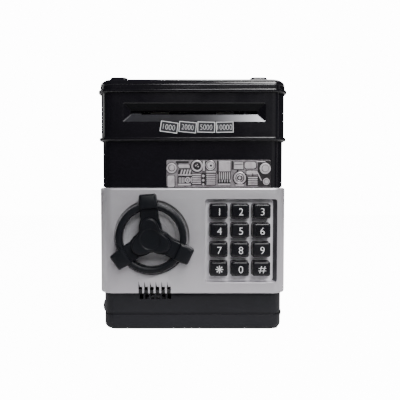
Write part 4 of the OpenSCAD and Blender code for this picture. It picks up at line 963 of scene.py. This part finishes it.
def make_relief():
    """Silver relief of machine parts on the front above the door."""
    p = plan()
    cx, cz = p.relief
    y = p.y_front + 0.6
    x0, z0 = cx - p.relief_w / 2, cz - p.relief_h / 2
    plate = solid([(rounded(p.relief_w - k, p.relief_h - k, 1.2, 8, cx, cz), h)
                   for k, h in ((0, -y), (0, -y + 0.75), (0.3, -y + 0.9))], FACING)
    soften(plate, 0.08, 2, 40)
    finished(plate, "relief_ground", "relief_ground", "case", ["relief_plate"], 34)
    top = -y + 0.9

    def bar(u, v, w, h, high, r=0.3, lean=0.0):
        """A block at u, v from the plate's corner, leaning to the right."""
        bx, bz = x0 + u, z0 + v
        rows = []
        for k, t in ((0.0, -0.1), (0.0, high * 0.65), (0.26, high)):
            points = rounded(w - k, h - k, max(min(r, w / 2.4, h / 2.4) - k / 4, 0.04), 3, bx, bz)
            rows.append(([(px + (pz - bz) * lean, pz) for px, pz in points], top + t))
        return solid(rows, FACING)

    def disc(u, v, r, high, hollow=0.0):
        """A round plate, or a ring where it is hollow."""
        dx, dz = x0 + u, z0 + v
        outer = [(circle(r * k, 40, dx, dz), top + t) for k, t in ((1, -0.1), (1, high * 0.55), (0.9, high))]
        if not hollow:
            return solid(outer, FACING)
        inner = [(circle(hollow * k, 40, dx, dz), top + t) for k, t in ((1.1, high), (1, high * 0.55), (1, -0.1))]
        return solid(outer + inner, FACING, closed=True)

    # dark holds painted shadow lines round the raised parts, painted shade between ribs, fins and rings, and the
    # plate's black right end.
    light, dark = [], []

    def shown(u, v, w, h, high=0.4, r=0.4, lean=0.0, edge=0.75):
        """A raised block with a shadow line round it."""
        dark.append(bar(u + 0.12, v - 0.12, w + edge, h + edge, 0.1, r, lean))
        light.append(bar(u, v, w, h, high, r, lean))

    def ribbed(u, v, w, h, count, high=0.45):
        """A block of level ribs on a dark bar, which paints the shade between them."""
        dark.append(bar(u, v, w + 0.8, h + 0.7, 0.12, 0.3))
        step = h / count
        for i in range(count):
            light.append(bar(u, v - h / 2 + (i + 0.5) * step, w, step * 0.62, high, 0.2))

    def finned(u, v, w, h, count, high=0.45):
        """A block of upright fins on a dark bar, which paints the shade between them."""
        dark.append(bar(u, v, w + 0.5, h + 0.3, 0.08, 0.3))
        step = w / count
        for i in range(count):
            light.append(bar(u - w / 2 + (i + 0.5) * step, v, step * 0.52, h, high, 0.2))

    dark.append(disc(3.8, 13.9, 4.2, 0.08))
    light += [disc(3.8, 13.9, 3.7, 0.35), disc(4.0, 14.1, 2.1, 0.6)]
    dark.append(disc(3.9, 14.0, 2.7, 0.42))
    shown(3.4, 4.3, 5.2, 8.2, 0.3, 1.0)
    light += [bar(2.6, 5.6, 0.7, 4.0, 0.55, 0.3, 0.35), bar(4.6, 4.4, 0.7, 4.4, 0.55, 0.3, 0.35)]
    dark += [bar(11.6, 18.3, 9.6, 1.5, 0.2, 0.6), bar(8.4, 16.9, 1.2, 2.4, 0.2, 0.4, -0.5)]
    shown(12.9, 15.3, 8.2, 2.6, 0.45, 0.8, -0.25)
    dark.append(bar(13.6, 10.6, 10.0, 5.0, 0.08, 0.6, 0.2))
    light += [bar(10.9 + 2.1 * i, 10.7, 1.2, 4.2, 0.45, 0.4, 0.3) for i in range(4)]
    light.append(bar(13.6, 8.9, 10.2, 0.9, 0.4, 0.3))
    dark.append(bar(13.4, 4.6, 10.6, 7.2, 0.1, 0.8))
    light += [bar(9.4 + 1.15 * i, 5.1, 0.65, 4.2, 0.45, 0.3) for i in range(4)]
    light += [disc(15.6, 5.3, 2.1, 0.5), disc(15.6, 5.3, 0.8, 0.7), bar(18.2, 5.2, 0.7, 4.2, 0.45),
              bar(13.2, 1.9, 9.6, 1.3, 0.4, 0.6)]
    dark.append(disc(15.6, 5.3, 1.3, 0.56))
    dark.append(disc(22.4, 15.4, 4.9, 0.1))
    light.append(disc(22.4, 15.5, 4.2, 0.6, 2.95))
    dark.append(disc(22.4, 15.5, 2.9, 0.14))
    light += [disc(21.5, 15.7, 0.6, 0.3), disc(23.3, 15.0, 0.55, 0.3), disc(22.7, 16.6, 0.45, 0.3)]
    shown(27.4, 15.6, 1.6, 7.4, 0.35, 0.3)
    dark.append(disc(32.2, 16.0, 4.1, 0.1))
    light += [disc(32.2, 16.0, 3.5, 0.45, 2.9), disc(32.2, 16.0, 2.5, 0.55)]
    dark += [disc(32.2, 16.0, 3.0, 0.2), disc(32.6, 15.7, 0.9, 0.6)]
    shown(32.6, 11.2, 7.2, 1.2, 0.5, 0.5)
    ribbed(22.1, 6.0, 6.4, 8.0, 5)
    ribbed(32.6, 5.8, 6.6, 8.4, 6)
    dark.append(bar(27.3, 5.9, 3.0, 9.6, 0.1, 0.3))
    light += [disc(27.0, 8.2, 0.95, 0.5), disc(27.0, 5.0, 0.95, 0.5), disc(27.0, 2.0, 0.8, 0.4)]
    dark.append(bar(37.5, 14.6, 0.9, 10.0, 0.25, 0.2))
    shown(42.7, 15.3, 8.4, 7.6, 0.28, 0.3)
    light += [bar(39.7 + 1.0 * i, 15.3, 0.36, 7.0, 0.42, 0.15) for i in range(7)]
    finned(42.5, 8.3, 8.8, 5.2, 6)
    dark.append(bar(42.3, 4.1, 9.4, 2.6, 0.3, 0.2))
    light += [bar(39.0 + 1.9 * i, 4.5, 0.8, 1.8, 0.45, 0.2) for i in range(5)]
    light.append(bar(42.2, 2.0, 9.0, 1.0, 0.35, 0.3))
    dark.append(bar(48.4, 16.0, 1.1, 6.4, 0.25, 0.2))
    shown(52.8, 15.6, 6.8, 4.8, 0.25, 0.3)
    light += [bar(52.8, 17.5, 6.4, 1.3, 0.75, 0.3), bar(52.8, 15.0, 5.2, 1.8, 0.45, 0.3)]
    dark.append(bar(52.8, 16.5, 6.4, 0.4, 0.3, 0.1))
    dark.append(bar(52.2, 12.2, 1.1, 2.0, 0.2, 0.2))
    dark.append(disc(53.8, 6.6, 5.3, 0.1))
    light += [disc(53.7, 6.7, 4.5, 0.6, 3.2), disc(53.7, 6.7, 2.6, 0.3, 2.0), disc(53.7, 6.7, 1.1, 0.35)]
    dark.append(disc(53.7, 6.7, 3.1, 0.14))
    light.append(bar(53.6, 1.4, 6.0, 1.2, 0.45, 0.4))
    dark += [bar(59.1, 4.2, 1.3, 6.4, 0.25, 0.3), bar(60.4, 12.4, 5.4, 0.5, 0.2, 0.2)]
    shown(61.4, 16.0, 8.2, 4.8, 0.4, 1.6)
    light += [bar(60.0, 16.0, 2.6, 3.0, 0.55, 0.8), bar(63.8, 16.2, 1.0, 3.2, 0.6, 0.3)]
    shown(62.6, 10.6, 8.0, 2.6, 0.3, 0.5)
    dark.append(bar(63.2, 9.0, 0.7, 2.4, 0.45, 0.2))
    ribbed(63.2, 4.6, 7.0, 6.4, 4)
    dark += [bar(71.6, 9.95, 9.4, 19.2, 0.07, 1.0)]
    light += [bar(68.2, 7.6, 0.8, 6.0, 0.25, 0.3, -0.5), bar(69.2, 18.6, 6.4, 0.5, 0.25, 0.2)]
    light += [disc(72.3, 13.6, 4.0, 0.45), disc(72.4, 13.7, 2.5, 0.68)]
    dark.append(disc(72.35, 13.65, 2.9, 0.52))
    light += [disc(73.1, 4.1, 2.5, 0.5), disc(73.1, 4.1, 1.5, 0.68)]
    dark.append(disc(73.1, 4.1, 1.8, 0.55))
    finished(merged(light), "relief_machinery", "relief", "case", angle=30)
    finished(merged(dark), "relief_shadows", "relief_dark", "case", angle=30)


def make_labels():
    """Four tilted number labels with white frames."""
    p = plan()
    w, h, shift, pitch = 12.7, 7.8, -0.15, 13.5
    plates = []
    white = []
    front = -p.y_house + 0.3
    labels = (("1000", -8, 8.7), ("2000", -5, 8.7), ("5000", -1.5, 8.7), ("10000", 1, 10.6))
    for i, (text, tilt, wide) in enumerate(labels):
        cx, cz = 3.3 + (i - 1.5) * pitch, p.z_house + 7.0
        turn = Matrix.Translation((cx, 0, cz)) @ FACING @ Matrix.Rotation(math.radians(tilt), 4, "Z")
        plates.append(solid([(rounded(w, h, 0.15, 2, shift), y) for y in (-p.y_house, front - 0.03)], turn))
        frame_rings = ((0.05, front - 0.05), (0.05, front - 0.005), (0.95, front - 0.005), (0.95, front - 0.05))
        white.append(solid([(rounded(w - k, h - k, 0.12, 2, shift), y) for k, y in frame_rings], turn, closed=True))
        white.append(lettering(text, wide, 3.7, cx + shift, cz - 0.05, -front + 0.045, 0.04, tilt, 0.22))
    finished(merged(plates), "label_plates", "label", "case", ["value_labels"], 30)
    finished(merged(white), "label_print_lines", "white", "case", angle=30)


# ---------------------------------------------------------------- exact pieces that stay


CARRIED = {
    "inner_floor": "inner", "battery_door_screw": "steel", "battery_cells": "cell", "battery_springs": "spring",
    "battery_plates": "spring", "battery_leads": "wire", "main_board": "pcb", "board_parts": "chip",
    "speaker_frame": "basket", "speaker_cone": "cone", "strike_plate": "steel", "case_screws": "steel",
    "coin_chute": "guide", "feeder_frame": "guide", "feeder_screws": "steel", "note_guide": "guide",
    "note_sensor": "chip", "feed_motor": "can", "idler_pin": "steel", "door_back": "inner", "door_screws": "steel",
    "hinge_pins": "steel", "keypad_membrane": "silicone", "keypad_board": "pcb", "keypad_screws": "steel",
    "solenoid_frame": "can", "solenoid_coil": "copper", "plunger": "steel", "plunger_spring": "spring",
    "latch_shaft": "steel", "latch_finger": "steel", "lock_disc": "acetal", "roller_shaft": "steel",
    "feed_rollers": "rubber", "roller_gear": "acetal", "pinch_roller": "acetal", "idler_gear": "acetal",
    "motor_pinion": "brass",
}


def make_carried():
    """Finishes for the exact nodes that stay as they are."""
    for node, kind in CARRIED.items():
        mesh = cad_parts[node].data
        mesh.materials.clear()
        mesh.materials.append(palette(kind))


# ---------------------------------------------------------------- stage


def area(name, place, aim, size, power, colour=(1, 1, 1), tall=None):
    """A soft light that looks at a point."""
    light = bpy.data.lights.new(name, "AREA")
    light.energy = power
    light.color = colour
    light.shape = "RECTANGLE"
    light.size = size
    light.size_y = tall or size
    obj = bpy.data.objects.new(name, light)
    obj.location = place
    obj.rotation_euler = (Vector(aim) - Vector(place)).to_track_quat("-Z", "Y").to_euler()
    bpy.context.scene.collection.objects.link(obj)


def make_floor():
    """Pale paper under the bank, which looks white to the camera and stays dim in reflections."""
    bm = bmesh.new()
    place = Matrix.Translation((0, 0.46, -0.0002)) @ Matrix.Diagonal((1.1, 0.7, 1, 1))
    bmesh.ops.create_grid(bm, x_segments=10, y_segments=7, size=1, matrix=place)
    floor = to_object(bm, "studio_floor")
    m = bpy.data.materials.new("Pale studio paper")
    m.use_nodes = True
    t = m.node_tree
    bsdf = t.nodes["Principled BSDF"]
    bsdf.inputs["Emission Color"].default_value = (1, 1, 1, 1)
    bsdf.inputs["Roughness"].default_value = 0.75
    bsdf.inputs["Specular IOR Level"].default_value = 0.2
    noise = add_node(t, "ShaderNodeTexNoise", {"Scale": 6.0, "Detail": 3.0})
    where = t.nodes.new("ShaderNodeTexCoord")
    tint = add_node(t, "ShaderNodeMix", {6: (0.74, 0.74, 0.745, 1), 7: (0.78, 0.78, 0.785, 1)}, data_type="RGBA")
    seen = t.nodes.new("ShaderNodeLightPath")
    lift = add_node(t, "ShaderNodeMath", {1: 13.0}, operation="MULTIPLY")
    wire(t, (where, "Object", noise, "Vector"), (noise, "Fac", tint, 0), (tint, 2, bsdf, "Base Color"),
         (seen, "Is Camera Ray", lift, 0), (lift, 0, bsdf, "Emission Strength"))
    floor.data.materials.append(m)


def make_world():
    """White behind the bank for the camera, and nearly dark for reflections and light."""
    world = bpy.data.worlds.new("Studio")
    world.use_nodes = True
    t = world.node_tree
    seen = t.nodes.new("ShaderNodeLightPath")
    tone = add_node(t, "ShaderNodeMix", {6: (0.035, 0.035, 0.04, 1), 7: (14.0, 14.0, 14.0, 1)}, data_type="RGBA")
    wire(t, (seen, "Is Camera Ray", tone, 0), (tone, 2, t.nodes["Background"], "Color"))
    bpy.context.scene.world = world


def make_camera():
    """Level view from the front, slightly from above."""
    camera = bpy.data.cameras.new("Camera")
    camera.sensor_width = 36
    camera.lens = 40.6
    camera.shift_y = 0.0013
    camera.shift_x = 0.0185
    camera.clip_start = 0.01
    obj = bpy.data.objects.new("Camera", camera)
    obj.location = (0.0, -0.383, 0.1096)
    obj.rotation_euler = (math.radians(90 - 2.2), 0, 0)
    bpy.context.scene.collection.objects.link(obj)
    bpy.context.scene.camera = obj


def make_stage():
    """Pale plain floor, soft lights and the camera."""
    make_floor()
    make_world()
    cool = (0.98, 0.98, 1)
    area("Key", (0.31, -0.50, 1.02), (0, -0.03, 0.09), 0.40, 11.5, (1, 0.99, 0.98))
    area("Front", (0.52, -1.2, 1.05), (0, 0, 0.08), 0.5, 9, cool)
    area("Low front", (0.16, -1.25, 0.69), (0.02, -0.06, 0.08), 0.5, 7, cool, 0.25)
    area("Top", (0.2, 0.45, 1.0), (0, 0, 0.1), 0.5, 4)
    area("Left rim", (-0.7, 0.1, 0.35), (-0.06, -0.02, 0.1), 0.3, 0.5)
    area("Right glow", (0.62, -1.3, 0.3), (0, 0, 0.12), 0.7, 0.6)
    area("Strip right", (0.55, -0.30, 0.16), (0.06, -0.04, 0.13), 0.03, 0.05, tall=0.3)
    make_camera()


# ---------------------------------------------------------------- operators and panel


class BANK_OT_base(bpy.types.Operator):
    """Bottom tray and battery door, from the exact solids, with their edges rounded."""

    bl_idname = "bank.base"
    bl_label = "Base tray"

    def execute(self, context):
        make_base()
        return {"FINISHED"}


class BANK_OT_body(bpy.types.Operator):
    """Glossy middle section with its bead, door frame, shelf and screw bosses."""

    bl_idname = "bank.body"
    bl_label = "Middle body"

    def execute(self, context):
        make_body()
        return {"FINISHED"}


class BANK_OT_housing(bpy.types.Operator):
    """Glossy upper housing with its flange, tapered note recess and slot."""

    bl_idname = "bank.housing"
    bl_label = "Upper housing"

    def execute(self, context):
        make_housing()
        return {"FINISHED"}


class BANK_OT_lid(bpy.types.Operator):
    """Lid with a soft shoulder, a step line, two low rails and the coin slot."""

    bl_idname = "bank.lid"
    bl_label = "Lid"

    def execute(self, context):
        make_lid()
        return {"FINISHED"}


class BANK_OT_door(bpy.types.Operator):
    """Silver door with the wheel dish, keypad pocket, speaker slits and hinge barrels."""

    bl_idname = "bank.door"
    bl_label = "Silver door"

    def execute(self, context):
        make_door()
        return {"FINISHED"}


class BANK_OT_wheel(bpy.types.Operator):
    """Hand wheel with its ring, arms, knobs and hub plate."""

    bl_idname = "bank.wheel"
    bl_label = "Hand wheel"

    def execute(self, context):
        make_wheel()
        return {"FINISHED"}


class BANK_OT_keys(bpy.types.Operator):
    """Twelve keys with soft crowned faces and white figures."""

    bl_idname = "bank.keys"
    bl_label = "Keys"

    def execute(self, context):
        make_keys()
        return {"FINISHED"}


class BANK_OT_relief(bpy.types.Operator):
    """Silver relief of machine parts on the front above the door."""

    bl_idname = "bank.relief"
    bl_label = "Relief plate"

    def execute(self, context):
        make_relief()
        return {"FINISHED"}


class BANK_OT_labels(bpy.types.Operator):
    """Four tilted number labels with white frames."""

    bl_idname = "bank.labels"
    bl_label = "Number labels"

    def execute(self, context):
        make_labels()
        return {"FINISHED"}


class BANK_OT_carried(bpy.types.Operator):
    """Finishes for the exact pieces that keep their own shape."""

    bl_idname = "bank.carried"
    bl_label = "Finishes of exact pieces"

    def execute(self, context):
        make_carried()
        return {"FINISHED"}


class BANK_OT_stage(bpy.types.Operator):
    """Pale plain floor, soft lights and the camera."""

    bl_idname = "bank.stage"
    bl_label = "Stage"

    def execute(self, context):
        make_stage()
        return {"FINISHED"}


OPERATORS = (
    BANK_OT_base, BANK_OT_body, BANK_OT_housing, BANK_OT_lid, BANK_OT_door, BANK_OT_wheel, BANK_OT_keys,
    BANK_OT_relief, BANK_OT_labels, BANK_OT_carried, BANK_OT_stage,
)


class BANK_PT_panel(bpy.types.Panel):
    """Sizes, colours and pieces of the bank in the 3D view's sidebar."""

    bl_label = "Toy savings bank"
    bl_space_type = "VIEW_3D"
    bl_region_type = "UI"
    bl_category = "Bank"

    def draw(self, context):
        for key in BankSizes.__annotations__:
            self.layout.prop(context.scene.bank_sizes, key)
        for key in BankColours.__annotations__:
            self.layout.prop(context.scene.bank_colours, key)
        for step in OPERATORS:
            self.layout.operator(step.bl_idname)


CLASSES = (BankSizes, BankColours, *OPERATORS, BANK_PT_panel)


def register():
    for cls in CLASSES:
        bpy.utils.register_class(cls)
    bpy.types.Scene.bank_sizes = bpy.props.PointerProperty(
        type=BankSizes, name="Bank sizes", description="Outer sizes of the bank")
    bpy.types.Scene.bank_colours = bpy.props.PointerProperty(
        type=BankColours, name="Bank colours", description="Main colours of the bank")


def unregister():
    del bpy.types.Scene.bank_colours
    del bpy.types.Scene.bank_sizes
    for cls in reversed(CLASSES):
        bpy.utils.unregister_class(cls)


def main():
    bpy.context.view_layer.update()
    register()
    bpy.ops.bank.base()
    bpy.ops.bank.body()
    bpy.ops.bank.housing()
    bpy.ops.bank.lid()
    bpy.ops.bank.door()
    bpy.ops.bank.wheel()
    bpy.ops.bank.keys()
    bpy.ops.bank.relief()
    bpy.ops.bank.labels()
    bpy.ops.bank.carried()
    bpy.ops.bank.stage()


if __name__ == "__main__":
    main()
